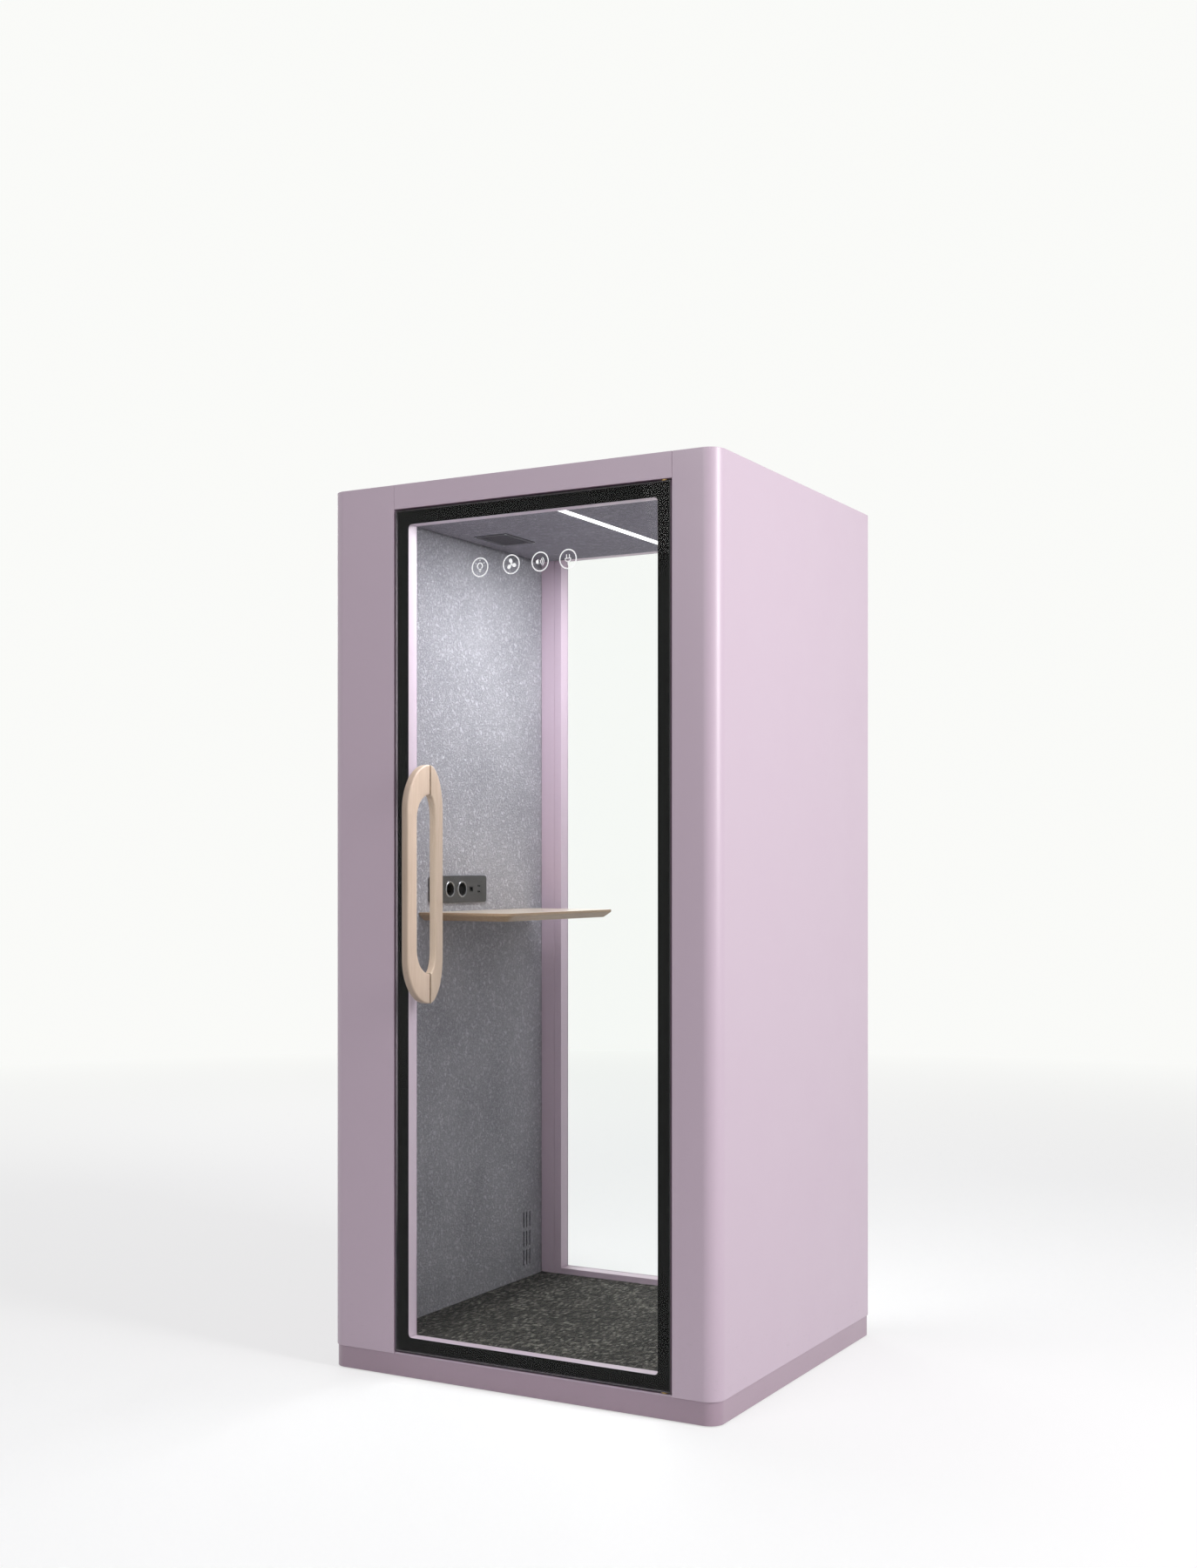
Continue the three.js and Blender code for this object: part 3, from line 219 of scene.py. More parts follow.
# pressed felt: matted clumps with painted shade in the creases between them, fine crossing fibres, dark
# flecks
def feltGroup():
    tree, given = startGroup(
        "pressedFelt",
        [("Dark", "Color", (0.2, 0.2, 0.23, 1)), ("Pale", "Color", (0.6, 0.6, 0.65, 1)),
         ("Clump", "Float", 75.0), ("Fleck", "Float", 0.5)],
    )
    place = objectPlace(tree)
    clump = noiseNode(tree, place, given["Clump"], 4, 0.62, 0.5)
    ridges = sums(tree, "ABSOLUTE", sums(tree, "SUBTRACT", clump, 0.5))
    crease = spread(tree, ridges, 0.0, 0.2, 0.0, 1.0)
    fibreA = noiseNode(tree, stretched(tree, place, (260, 900, 330)), 1.0, 3, 0.6, 0.8)
    fibreB = noiseNode(tree, stretched(tree, place, (520, 300, 1000)), 1.0, 3, 0.6, 0.8)
    fibres = times(tree, plus(tree, fibreA, fibreB), 0.5)
    lift = plus(tree, times(tree, crease, 0.62), times(tree, fibres, 0.7))
    cloud = noiseNode(tree, place, 5.0, 3, 0.5)
    # painted shade: the felt is darker along the creases where the relief dips; fibres and cloud add random
    # tone
    tone = plus(tree, times(tree, crease, 0.52), spread(tree, fibres, 0.34, 0.66, 0.0, 0.46))
    toned = plus(tree, tone, spread(tree, cloud, 0.3, 0.7, -0.08, 0.08))
    wool = blendColour(tree, toned, given["Dark"], given["Pale"])
    flecks = noiseNode(tree, stretched(tree, place, (420, 420, 420)), 1.0, 2, 0.5, 2.0)
    darkSpots = times(tree, spread(tree, flecks, 0.64, 0.72, 0.0, 1.0), given["Fleck"])
    flecked = blendColour(tree, darkSpots, wool, given["Dark"])
    rough = spread(tree, fibres, 0.3, 0.7, 0.86, 1.0)
    return endGroup(tree, Colour=flecked, Roughness=rough, Height=lift)


# timber: long rings along one axis, short pores, satin oil
def woodGroup():
    tree, given = startGroup(
        "timberGrain",
        [("Pale", "Color", (0.7, 0.55, 0.4, 1)), ("Dark", "Color", (0.45, 0.3, 0.18, 1)),
         ("Stretch", "Vector", (60.0, 60.0, 4.0)), ("Rough", "Float", 0.42), ("Contrast", "Float", 0.6)],
    )
    place = objectPlace(tree)
    along = vectorNode(tree, "MULTIPLY", place)
    tree.links.new(given["Stretch"], along.inputs[1])
    rings = noiseNode(tree, along.outputs[0], 1.0, 3, 0.5, 0.9)
    bands = sums(tree, "SINE", times(tree, rings, 34.0))
    band = spread(tree, bands, -1.0, 1.0, 0.0, 1.0)
    pores = noiseNode(tree, scaled(tree, along.outputs[0], 9.0), 1.0, 3, 0.65)
    poreMask = spread(tree, pores, 0.56, 0.7, 0.0, 1.0)
    drift = noiseNode(tree, place, 9.0, 3, 0.5)
    tone = plus(tree, times(tree, band, 0.5), times(tree, poreMask, 0.4))
    toned = plus(tree, tone, spread(tree, drift, 0.3, 0.7, -0.12, 0.18))
    mask = times(tree, toned, given["Contrast"])
    colour = blendColour(tree, mask, given["Pale"], given["Dark"])
    rough = plus(tree, given["Rough"], times(tree, poreMask, 0.14))
    height = sums(tree, "SUBTRACT", times(tree, band, 0.25), poreMask)
    return endGroup(tree, Colour=colour, Roughness=rough, Height=height)


# loop pile: tufts in wandering rows, each tuft its own tone, with painted shade in the gaps between tufts
def pileGroup():
    tree, given = startGroup(
        "loopPile",
        [("Dark", "Color", (0.03, 0.028, 0.025, 1)), ("Middle", "Color", (0.1, 0.095, 0.085, 1)),
         ("Pale", "Color", (0.25, 0.24, 0.22, 1)), ("Tuft", "Float", 120.0)],
    )
    place = objectPlace(tree)
    wander = addNode(tree, "ShaderNodeTexNoise")
    setInputs(wander, Scale=26.0, Detail=2.0)
    tree.links.new(place, wander.inputs["Vector"])
    bend = vectorNode(tree, "MULTIPLY_ADD", wander.outputs["Color"])
    bend.inputs[1].default_value = (0.012, 0.006, 0.0)
    tree.links.new(place, bend.inputs[2])
    rows = stretched(tree, bend.outputs[0], (1.0, 0.5, 0.0))
    tuft = addNode(tree, "ShaderNodeTexVoronoi", feature="F1")
    tuft.inputs["Randomness"].default_value = 0.5
    tree.links.new(rows, tuft.inputs["Vector"])
    tree.links.new(given["Tuft"], tuft.inputs["Scale"])
    crown = spread(tree, tuft.outputs["Distance"], 0.08, 0.62, 1.0, 0.0)
    own = addNode(tree, "ShaderNodeSeparateColor")
    tree.links.new(tuft.outputs["Color"], own.inputs[0])
    yarn = noiseNode(tree, stretched(tree, place, (900, 1500, 900)), 1.0, 2, 0.6)
    patch = noiseNode(tree, place, 9.0, 3, 0.6)
    pick = plus(tree, own.outputs[0], spread(tree, patch, 0.3, 0.7, -0.1, 0.1))
    body = blendColour(tree, spread(tree, pick, 0.2, 0.75, 0.0, 1.0), given["Dark"], given["Middle"])
    tips = blendColour(tree, spread(tree, pick, 0.72, 1.0, 0.0, 0.8), body, given["Pale"])
    # painted shade: each tuft darker towards its edge, in the gaps between tufts; the yarn noise adds random
    # tone
    shade = times(tree, spread(tree, crown, 0.0, 0.7, 0.35, 1.0), spread(tree, yarn, 0.3, 0.7, 0.75, 1.2))
    lift = plus(tree, crown, times(tree, yarn, 0.3))
    rough = spread(tree, yarn, 0.3, 0.7, 0.88, 1.0)
    return endGroup(tree, Colour=scaled(tree, tips, shade), Roughness=rough, Height=lift)


# worked metal: straight brush lines with faint handling marks
def brushGroup():
    tree, given = startGroup(
        "brushLines",
        [("Colour", "Color", (0.6, 0.6, 0.6, 1)), ("Stretch", "Vector", (2000.0, 2000.0, 30.0)),
         ("Rough", "Float", 0.3), ("Depth", "Float", 0.1)],
    )
    place = objectPlace(tree)
    along = vectorNode(tree, "MULTIPLY", place)
    tree.links.new(given["Stretch"], along.inputs[1])
    lines = noiseNode(tree, along.outputs[0], 1.0, 3, 0.6)
    marks = noiseNode(tree, place, 24.0, 4, 0.6)
    tone = times(tree, spread(tree, lines, 0.25, 0.75, -1.0, 1.0), given["Depth"])
    deep = plus(tree, tone, 1.0)
    shaded = scaled(tree, given["Colour"], deep)
    rough = plus(tree, plus(tree, given["Rough"], tone), spread(tree, marks, 0.35, 0.7, -0.04, 0.09))
    return endGroup(tree, Colour=shaded, Roughness=rough, Height=lines)


# moulded skin: spark grain with slow gloss drift
def mouldGroup():
    tree, given = startGroup(
        "mouldGrain",
        [("Colour", "Color", (0.02, 0.02, 0.02, 1)), ("Grain", "Float", 1400.0), ("Rough", "Float", 0.5)],
    )
    place = objectPlace(tree)
    spark = addNode(tree, "ShaderNodeTexVoronoi", feature="SMOOTH_F1")
    tree.links.new(place, spark.inputs["Vector"])
    tree.links.new(given["Grain"], spark.inputs["Scale"])
    drift = noiseNode(tree, place, 16.0, 4, 0.6)
    tone = spread(tree, drift, 0.3, 0.7, 0.86, 1.16)
    shaded = scaled(tree, given["Colour"], tone)
    rough = plus(tree, given["Rough"], spread(tree, drift, 0.3, 0.7, -0.06, 0.06))
    return endGroup(tree, Colour=shaded, Roughness=rough, Height=spark.outputs["Distance"])


effects = {
    "paint": paintGroup(),
    "felt": feltGroup(),
    "wood": woodGroup(),
    "pile": pileGroup(),
    "brush": brushGroup(),
    "mould": mouldGroup(),
}
print("shared effects built:", len(effects))


def newMaterial(name):
    material = bpy.data.materials.new(name)
    material.use_nodes = True
    return material, material.node_tree


# one finish: an effect group in front of a plain shader
def makeFinish(name, effect, values, bump, depth, **shader):
    material, tree = newMaterial(name)
    surface = tree.nodes["Principled BSDF"]
    group = addNode(tree, "ShaderNodeGroup", node_tree=effects[effect])
    for label, value in values.items():
        group.inputs[label].default_value = value
    relief = addNode(tree, "ShaderNodeBump")
    setInputs(relief, Strength=bump, Distance=depth)
    tree.links.new(group.outputs["Colour"], surface.inputs["Base Color"])
    tree.links.new(group.outputs["Roughness"], surface.inputs["Roughness"])
    tree.links.new(group.outputs["Height"], relief.inputs["Height"])
    tree.links.new(relief.outputs["Normal"], surface.inputs["Normal"])
    setInputs(surface, **shader)
    return material


# clear panes: lamps pass, rays see through with a faint gloss
def makeGlass(name, tint, bend):
    material, tree = newMaterial(name)
    pane = tree.nodes["Principled BSDF"]
    place = objectPlace(tree)
    wipe = noiseNode(tree, stretched(tree, place, (3.0, 3.0, 9.0)), 1.0, 4, 0.6)
    tree.links.new(spread(tree, wipe, 0.45, 0.75, 0.0, 0.035), pane.inputs["Roughness"])
    setInputs(pane, Base_Color=tint, IOR=bend, Transmission_Weight=1.0)
    passing = addNode(tree, "ShaderNodeBsdfTransparent")
    passing.inputs["Color"].default_value = tint
    rays = addNode(tree, "ShaderNodeLightPath")
    choose = addNode(tree, "ShaderNodeMixShader")
    tree.links.new(rays.outputs["Is Shadow Ray"], choose.inputs[0])
    tree.links.new(pane.outputs[0], choose.inputs[1])
    tree.links.new(passing.outputs[0], choose.inputs[2])
    tree.links.new(choose.outputs[0], tree.nodes["Material Output"].inputs["Surface"])
    return material


# opal light cover: even glow with a faint row of light points behind it
def makeOpal(name, glow):
    material, tree = newMaterial(name)
    cover = tree.nodes["Principled BSDF"]
    place = objectPlace(tree)
    points = addNode(tree, "ShaderNodeTexWave", bands_direction="Y")
    setInputs(points, Scale=9.0, Distortion=0.0)
    tree.links.new(place, points.inputs["Vector"])
    shine = blendColour(tree, points.outputs["Fac"], (0.93, 0.94, 0.96, 1), (1.0, 1.0, 1.0, 1))
    frosted = noiseNode(tree, place, 900.0, 2, 0.5)
    tree.links.new(shine, cover.inputs["Emission Color"])
    tree.links.new(spread(tree, frosted, 0.3, 0.7, 0.42, 0.6), cover.inputs["Roughness"])
    setInputs(cover, Base_Color=(0.9, 0.9, 0.88, 1), Emission_Strength=glow)
    return material


finishes = {
    "lilac_paint": makeFinish("lilacPaint", "paint", {"Colour": (0.58, 0.455, 0.55, 1), "Rough": 0.38,
        "Drift": 0.35, "Scuff": 0.45}, 0.18, 0.0004, Coat_Weight=0.6, Coat_Roughness=0.46),
    # plinth: the lilac paint darkened as painted shade under the overhanging shell; the scuffs near the floor
    # are wear
    "plinth_paint": makeFinish("plinthPaint", "paint", {"Colour": (0.405, 0.294, 0.366, 1), "Rough": 0.42,
        "Drift": 0.35, "Scuff": 0.7}, 0.18, 0.0004, Coat_Weight=0.4, Coat_Roughness=0.34),
    "leaf_frame": makeFinish("leafPaint", "paint", {"Colour": (0.54, 0.445, 0.52, 1), "Rough": 0.34,
        "Drift": 0.25, "Scuff": 0.3, "Peel Scale": 1100.0}, 0.12, 0.0003),
    "dark_steel": makeFinish("darkSteel", "mould", {"Colour": (0.045, 0.043, 0.047, 1), "Rough": 0.44}, 0.2,
        0.0002, Metallic=0.0),
    "bright_steel": makeFinish("brightSteel", "brush", {"Colour": (0.52, 0.53, 0.55, 1), "Rough": 0.28},
        0.15, 0.0001, Metallic=1.0),
    "bezel": makeFinish("bezelSteel", "brush", {"Colour": (0.3, 0.3, 0.31, 1), "Rough": 0.22}, 0.1, 0.0001,
        Metallic=1.0),
    "bronze": makeFinish("bushBronze", "brush", {"Colour": (0.42, 0.28, 0.12, 1), "Rough": 0.36}, 0.15,
        0.0001, Metallic=1.0),
    "rubber": makeFinish("sealRubber", "mould", {"Colour": (0.014, 0.014, 0.014, 1), "Rough": 0.72,
        "Grain": 900.0}, 0.3, 0.0002),
    "board": makeFinish("plyBoard", "wood", {"Pale": (0.55, 0.38, 0.21, 1), "Dark": (0.3, 0.18, 0.09, 1),
        "Stretch": (70.0, 5.0, 300.0), "Rough": 0.62}, 0.25, 0.0004),
    "fleece": makeFinish("wallFleece", "felt", {"Dark": (0.012, 0.012, 0.013, 1),
        "Pale": (0.05, 0.05, 0.052, 1), "Clump": 40.0}, 0.6, 0.002),
    "wall_felt": makeFinish("wallFelt", "felt", {"Dark": (0.17, 0.166, 0.198, 1),
        "Pale": (0.74, 0.734, 0.782, 1), "Clump": 92.0, "Fleck": 0.5}, 1.0, 0.0034, Sheen_Weight=0.15,
        Sheen_Roughness=0.5),
    "ceiling_felt": makeFinish("ceilingFelt", "felt", {"Dark": (0.1, 0.092, 0.118, 1),
        "Pale": (0.37, 0.35, 0.415, 1), "Clump": 60.0, "Fleck": 0.4}, 0.8, 0.0025, Sheen_Weight=0.1,
        Sheen_Roughness=0.5),
    "carpet": makeFinish("carpetPile", "pile", {"Dark": (0.03, 0.028, 0.023, 1),
        "Middle": (0.112, 0.105, 0.088, 1), "Pale": (0.31, 0.295, 0.25, 1), "Tuft": 150.0}, 1.0, 0.004),
    "black_band": makeFinish("blackBand", "mould", {"Colour": (0.004, 0.004, 0.004, 1), "Rough": 0.8,
        "Grain": 2400.0}, 0.04, 0.0001, Specular_IOR_Level=0.05),
    "clear_glass": makeGlass("clearGlass", (0.985, 0.995, 0.99, 1), 1.15),
    "pale_wood": makeFinish("handleBeech", "wood", {"Pale": (0.52, 0.4, 0.315, 1),
        "Dark": (0.36, 0.245, 0.172, 1), "Stretch": (75.0, 75.0, 3.2), "Rough": 0.42, "Contrast": 0.42},
        0.2, 0.0003),
    # shelf oak: edges and underside darkened as painted shade, the top a paler copy of the same oak as
    # painted light
    "shelf_wood": makeFinish("shelfOak", "wood", {"Pale": (0.44, 0.305, 0.19, 1),
        "Dark": (0.25, 0.155, 0.085, 1), "Stretch": (55.0, 3.0, 160.0), "Rough": 0.42, "Contrast": 0.6},
        0.25, 0.0003),
    "shelf_top": makeFinish("shelfTop", "wood", {"Pale": (0.74, 0.63, 0.5, 1),
        "Dark": (0.56, 0.44, 0.31, 1), "Stretch": (55.0, 3.0, 160.0), "Rough": 0.36, "Contrast": 0.5}, 0.12,
        0.0002, Coat_Weight=0.7, Coat_Roughness=0.16),
    # near-black felt for the cut edges of the felt boards: painted shade inside the slits and holes
    "slit_edge": makeFinish("slitEdge", "felt", {"Dark": (0.02, 0.02, 0.022, 1),
        "Pale": (0.07, 0.068, 0.075, 1), "Clump": 90.0}, 0.5, 0.001),
    "leaf_edge": makeFinish("leafEdge", "mould", {"Colour": (0.012, 0.012, 0.012, 1), "Rough": 0.36,
        "Grain": 2000.0}, 0.06, 0.0001, Specular_IOR_Level=0.3),
    "plate_grey": makeFinish("plateGrey", "brush", {"Colour": (0.06, 0.057, 0.058, 1), "Rough": 0.36,
        "Stretch": (2000.0, 24.0, 1900.0), "Depth": 0.12}, 0.15, 0.0001, Metallic=0.65),
    "socket_black": makeFinish("socketBlack", "mould", {"Colour": (0.016, 0.016, 0.016, 1), "Rough": 0.38},
        0.2, 0.0002),
    "opal": makeOpal("opalCover", 1.5),
    "aluminium": makeFinish("lightChannel", "brush", {"Colour": (0.62, 0.63, 0.64, 1), "Rough": 0.32,
        "Stretch": (1800.0, 20.0, 1800.0)}, 0.15, 0.0001, Metallic=1.0),
    "grille_grey": makeFinish("grilleGrey", "mould", {"Colour": (0.075, 0.07, 0.084, 1), "Rough": 0.62},
        0.3, 0.0002),
    "fan_black": makeFinish("fanBlack", "mould", {"Colour": (0.016, 0.016, 0.017, 1), "Rough": 0.46}, 0.2,
        0.0002),
    "driver_white": makeFinish("driverCase", "mould", {"Colour": (0.72, 0.72, 0.69, 1), "Rough": 0.5}, 0.2,
        0.0002),
    # white print with a faint glow: painted light, as if lit from inside the pod
    "print": makeFinish("glassPrint", "mould", {"Colour": (0.86, 0.86, 0.87, 1), "Rough": 0.55,
        "Grain": 3000.0}, 0.1, 0.0001, Emission_Color=(1.0, 1.0, 1.0, 1), Emission_Strength=0.42),
    "pale_seal": makeFinish("paleSeal", "mould", {"Colour": (0.5, 0.42, 0.49, 1), "Rough": 0.55,
        "Grain": 900.0}, 0.2, 0.0002),
}
# every carried-over node takes the finish of its own slot
slotNames = {name: node.material_slots[0].material.name.split(".")[0] for name, node in podNodes.items()}
for nodeName, node in podNodes.items():
    node.material_slots[0].material = finishes[slotNames[nodeName]]
podNodes["rear_gasket"].material_slots[0].material = finishes["pale_seal"]
print("finishes placed on", len(podNodes), "nodes")


# mesh helpers, with the reach of each merge or cut in metres
reachSet = {"weld": 0.00002, "cadWeld": 0.00001, "slice": 0.000001}


def splitGeom(geom, kind):
    return [item for item in geom if isinstance(item, kind)]


def faceOut(bm):
    bmesh.ops.recalc_face_normals(bm, faces=bm.faces[:])


def roundOff(bm, geom, radius, segments, kind):
    bmesh.ops.bevel(bm, geom=geom, offset=radius * mm, offset_type="OFFSET", segments=segments,
                    profile=0.5, affect=kind, material=-1)


def growFaces(bm, faces, move):
    grown = bmesh.ops.extrude_face_region(bm, geom=faces)["geom"]
    bmesh.ops.translate(bm, verts=splitGeom(grown, bmesh.types.BMVert), vec=move)
    return splitGeom(grown, bmesh.types.BMFace)


# a sheet bent along an outline and raised between two levels
def bendSheet(bm, plan, values, corners, closed):
    dots = [bm.verts.new((x * mm, y * mm, values["low"] * mm)) for x, y in plan]
    nexts = dots[1:] + dots[:1] if closed else dots[1:]
    for first, second in zip(dots, nexts):
        bm.edges.new((first, second))
    roundOff(bm, dots[corners], values["radius"], values["steps"], "VERTICES")
    grown = bmesh.ops.extrude_edge_only(bm, edges=bm.edges[:])["geom"]
    bmesh.ops.translate(bm, verts=splitGeom(grown, bmesh.types.BMVert),
                        vec=(0, 0, (values["high"] - values["low"]) * mm))


# a flat board of even cells round its centre
def gridBoard(bm, centre, turn, long, wide, cell):
    place = Matrix.Translation([value * mm for value in centre])
    size = Matrix.Diagonal((long * mm, wide * mm, 1.0, 1.0))
    bmesh.ops.create_grid(bm, x_segments=round(long / cell), y_segments=round(wide / cell), size=0.5,
                          matrix=place @ turn @ size)


def placeMesh(name, bm):
    mesh = bpy.data.meshes.new(name)
    bm.to_mesh(mesh)
    bm.free()
    item = bpy.data.objects.new(name, mesh)
    scene.collection.objects.link(item)
    return item


def finishPiece(name, bm, finish, body, stands=(), sharp=35.0, outward=True):
    bmesh.ops.remove_doubles(bm, verts=bm.verts[:], dist=reachSet["weld"])
    if outward:
        faceOut(bm)
    piece = placeMesh(name, bm)
    piece.data.materials.append(finish)
    for face in piece.data.polygons:
        face.use_smooth = True
    piece.data.set_sharp_from_angle(angle=math.radians(sharp))
    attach(piece, body)
    if stands:
        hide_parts(*stands)
    return piece


def softenEdges(piece, width, segments=2, angle=40.0):
    rounder = piece.modifiers.new("softEdges", "BEVEL")
    rounder.width = width * mm
    rounder.segments = segments
    rounder.limit_method = "ANGLE"
    rounder.angle_limit = math.radians(angle)
    rounder.harden_normals = True


def thicken(piece, thickness, rimFinish=None):
    wall = piece.modifiers.new("wall", "SOLIDIFY")
    if rimFinish:
        piece.data.materials.append(rimFinish)
        wall.material_offset_rim = 1
    wall.thickness = thickness * mm
    wall.offset = -1.0
    wall.use_even_offset = True


def faceTowards(bm, direction, test):
    bm.normal_update()
    face = max(bm.faces, key=test)
    if face.normal.dot(Vector(direction)) < 0:
        bmesh.ops.reverse_faces(bm, faces=bm.faces[:])


def slicePlane(bm, point, normal, trim=False):
    bmesh.ops.bisect_plane(bm, geom=bm.verts[:] + bm.edges[:] + bm.faces[:], plane_co=point,
                           plane_no=normal, clear_outer=trim, dist=reachSet["slice"])
    if trim:
        bmesh.ops.holes_fill(bm, edges=[edge for edge in bm.edges if edge.is_boundary], sides=0)


def cutAt(bm, axis, places):
    for place in places:
        point = Vector((0, 0, 0))
        point[axis] = place * mm
        normal = Vector((0, 0, 0))
        normal[axis] = 1.0
        slicePlane(bm, point, normal)


def openInside(bm, low, high):
    lowest, highest = Vector(low) * mm, Vector(high) * mm
    inside = []
    for face in bm.faces:
        centre = face.calc_center_median()
        if all(lowest[axis] < centre[axis] < highest[axis] for axis in range(3)):
            inside.append(face)
    bmesh.ops.delete(bm, geom=inside, context="FACES")


# straight-cut pieces: their own mesh again, with every hard edge eased
easeSet = {
    "header": 1.0, "threshold": 0.6, "left_jamb": 0.5, "right_jamb": 0.5,
    "rear_left_stile": 0.5, "rear_right_stile": 0.5, "rear_top_rail": 1.2, "rear_bottom_rail": 1.2,
    "door_lock_stile": 0.5, "door_hinge_stile": 0.5, "door_top_rail": 0.5, "door_bottom_rail": 0.5,
    "roof_cover": 0.8, "socket_plate": 0.5, "light_channel": 0.3, "magnet_catch": 0.4, "power_inlet": 0.4,
    "intake_grille": 0.3, "exhaust_grille": 0.3,
}


def easeNode(node, width):
    source = podNodes[node]
    bm = bmesh.new()
    bm.from_mesh(source.data)
    bmesh.ops.remove_doubles(bm, verts=bm.verts[:], dist=reachSet["cadWeld"])
    bmesh.ops.dissolve_limit(bm, angle_limit=math.radians(1.0), verts=bm.verts[:], edges=bm.edges[:])
    words = node.split("_")
    name = words[0] + "".join(word.capitalize() for word in words[1:]) + "Eased"
    piece = finishPiece(name, bm, source.material_slots[0].material, source["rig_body"],
                        (node,), sharp=30.0)
    softenEdges(piece, width, 2, 30.0)
    return piece


def paintFaces(piece, finish, test):
    piece.data.materials.append(finish)
    for face in piece.data.polygons:
        if test(face):
            face.material_index = len(piece.data.materials) - 1


leafFront = -0.49
for nodeName, nodeWidth in easeSet.items():
    easedPiece = easeNode(nodeName, nodeWidth)
    if nodeName.startswith("door_"):
        paintFaces(easedPiece, finishes["leaf_edge"],
                   lambda face: face.normal.y < -0.5 and face.center.y < leafFront)
print("edges eased on", len(easeSet), "pieces")

# black border: a printed film a hair behind the pane
bandSet = {"front": -486.95, "reach": 0.2, "back": 0.25}


def makeBand():
    bm = bmesh.new()
    bm.from_mesh(podNodes["door_band"].data)
    bmesh.ops.remove_doubles(bm, verts=bm.verts[:], dist=reachSet["cadWeld"])
    faced = [vert for vert in bm.verts if vert.co.y < (bandSet["front"] + bandSet["reach"]) * mm]
    bmesh.ops.translate(bm, verts=faced, vec=(0, bandSet["back"] * mm, 0))
    finishPiece("borderFilm", bm, finishes["black_band"], "door", ("door_band",),
                sharp=30.0)


makeBand()
print("border printed")

# painted shells: one bent sheet each, round upright corners
shellSet = {"half": 550.0, "depth": 495.0, "low": 58.0, "high": 2250.0, "radius": 40.0, "steps": 16,
            "skin": 3.0, "rear": 422.0, "ease": 1.3,
            "sides": {"leftSheet": (-1, -353.0), "rightSheet": (1, 432.0)}}


def makeShell(name, side, frontEdge):
    bm = bmesh.new()
    plan = [(frontEdge, -shellSet["depth"]), (side * shellSet["half"], -shellSet["depth"]),
            (side * shellSet["half"], shellSet["depth"]), (side * shellSet["rear"], shellSet["depth"])]
    bendSheet(bm, plan, shellSet, slice(1, 3), False)
    faceOut(bm)
    faceTowards(bm, (side, 0, 0), lambda face: face.calc_center_median().x * side)
    piece = finishPiece(name, bm, finishes["lilac_paint"], "pod",
                        (name.replace("Sheet", "_shell"),), outward=False)
    thicken(piece, shellSet["skin"])
    softenEdges(piece, shellSet["ease"], 3)


for sheetName, sheetValues in shellSet["sides"].items():
    makeShell(sheetName, *sheetValues)
print("shells bent")

# plinth skirt with the mains mouth at the back
plinthSet = {"half": 547.0, "depth": 492.0, "low": 3.0, "high": 58.0, "radius": 37.0, "steps": 14,
             "skin": 3.0, "ease": 0.6, "mouth": ((360.0, 400.0, 26.0), (392.0, 600.0, 50.0))}


def makePlinth():
    bm = bmesh.new()
    half, depth = plinthSet["half"], plinthSet["depth"]
    plan = ((-half, -depth), (half, -depth), (half, depth), (-half, depth))
    bendSheet(bm, plan, plinthSet, slice(0, 4), True)
    low, high = plinthSet["mouth"]
    cutAt(bm, 0, (low[0], high[0]))
    cutAt(bm, 2, (low[2], high[2]))
    openInside(bm, low, high)
    faceOut(bm)
    faceTowards(bm, (1, 0, 0), lambda face: face.calc_center_median().x)
    # the plinth's darker paint is painted shade under the shell
    piece = finishPiece("plinthSkirt", bm, finishes["plinth_paint"], "pod", ("plinth",),
                        outward=False)
    thicken(piece, plinthSet["skin"])
    softenEdges(piece, plinthSet["ease"])


makePlinth()
print("plinth bent")

# felt boards: pressed face with a slow uneven relief, air slits low on the left wall
feltSet = {"cell": 8.0, "relief": 0.8, "grain": 34.0, "thick": 11.0, "low": 58.0, "high": 2191.5,
           "front": -432.7, "back": 394.7, "face": 450.0,
           "cut": (-500.0, -400.0), "fine": 2.3, "shares": (0.6, 0.4),
           "slits": {"back": (290.0, 307.0, 324.0), "rise": (120.0, 175.0, 230.0), "wide": 4.6, "tall": 44.0}}


def pressFace(bm, inward, relief, grain):
    coarse, fine = feltSet["shares"]
    for vert in bm.verts:
        lift = noise.noise(vert.co * grain) * coarse + noise.noise(vert.co * grain * feltSet["fine"]) * fine
        vert.co += Vector(inward) * relief * mm * (0.5 + 0.5 * lift)


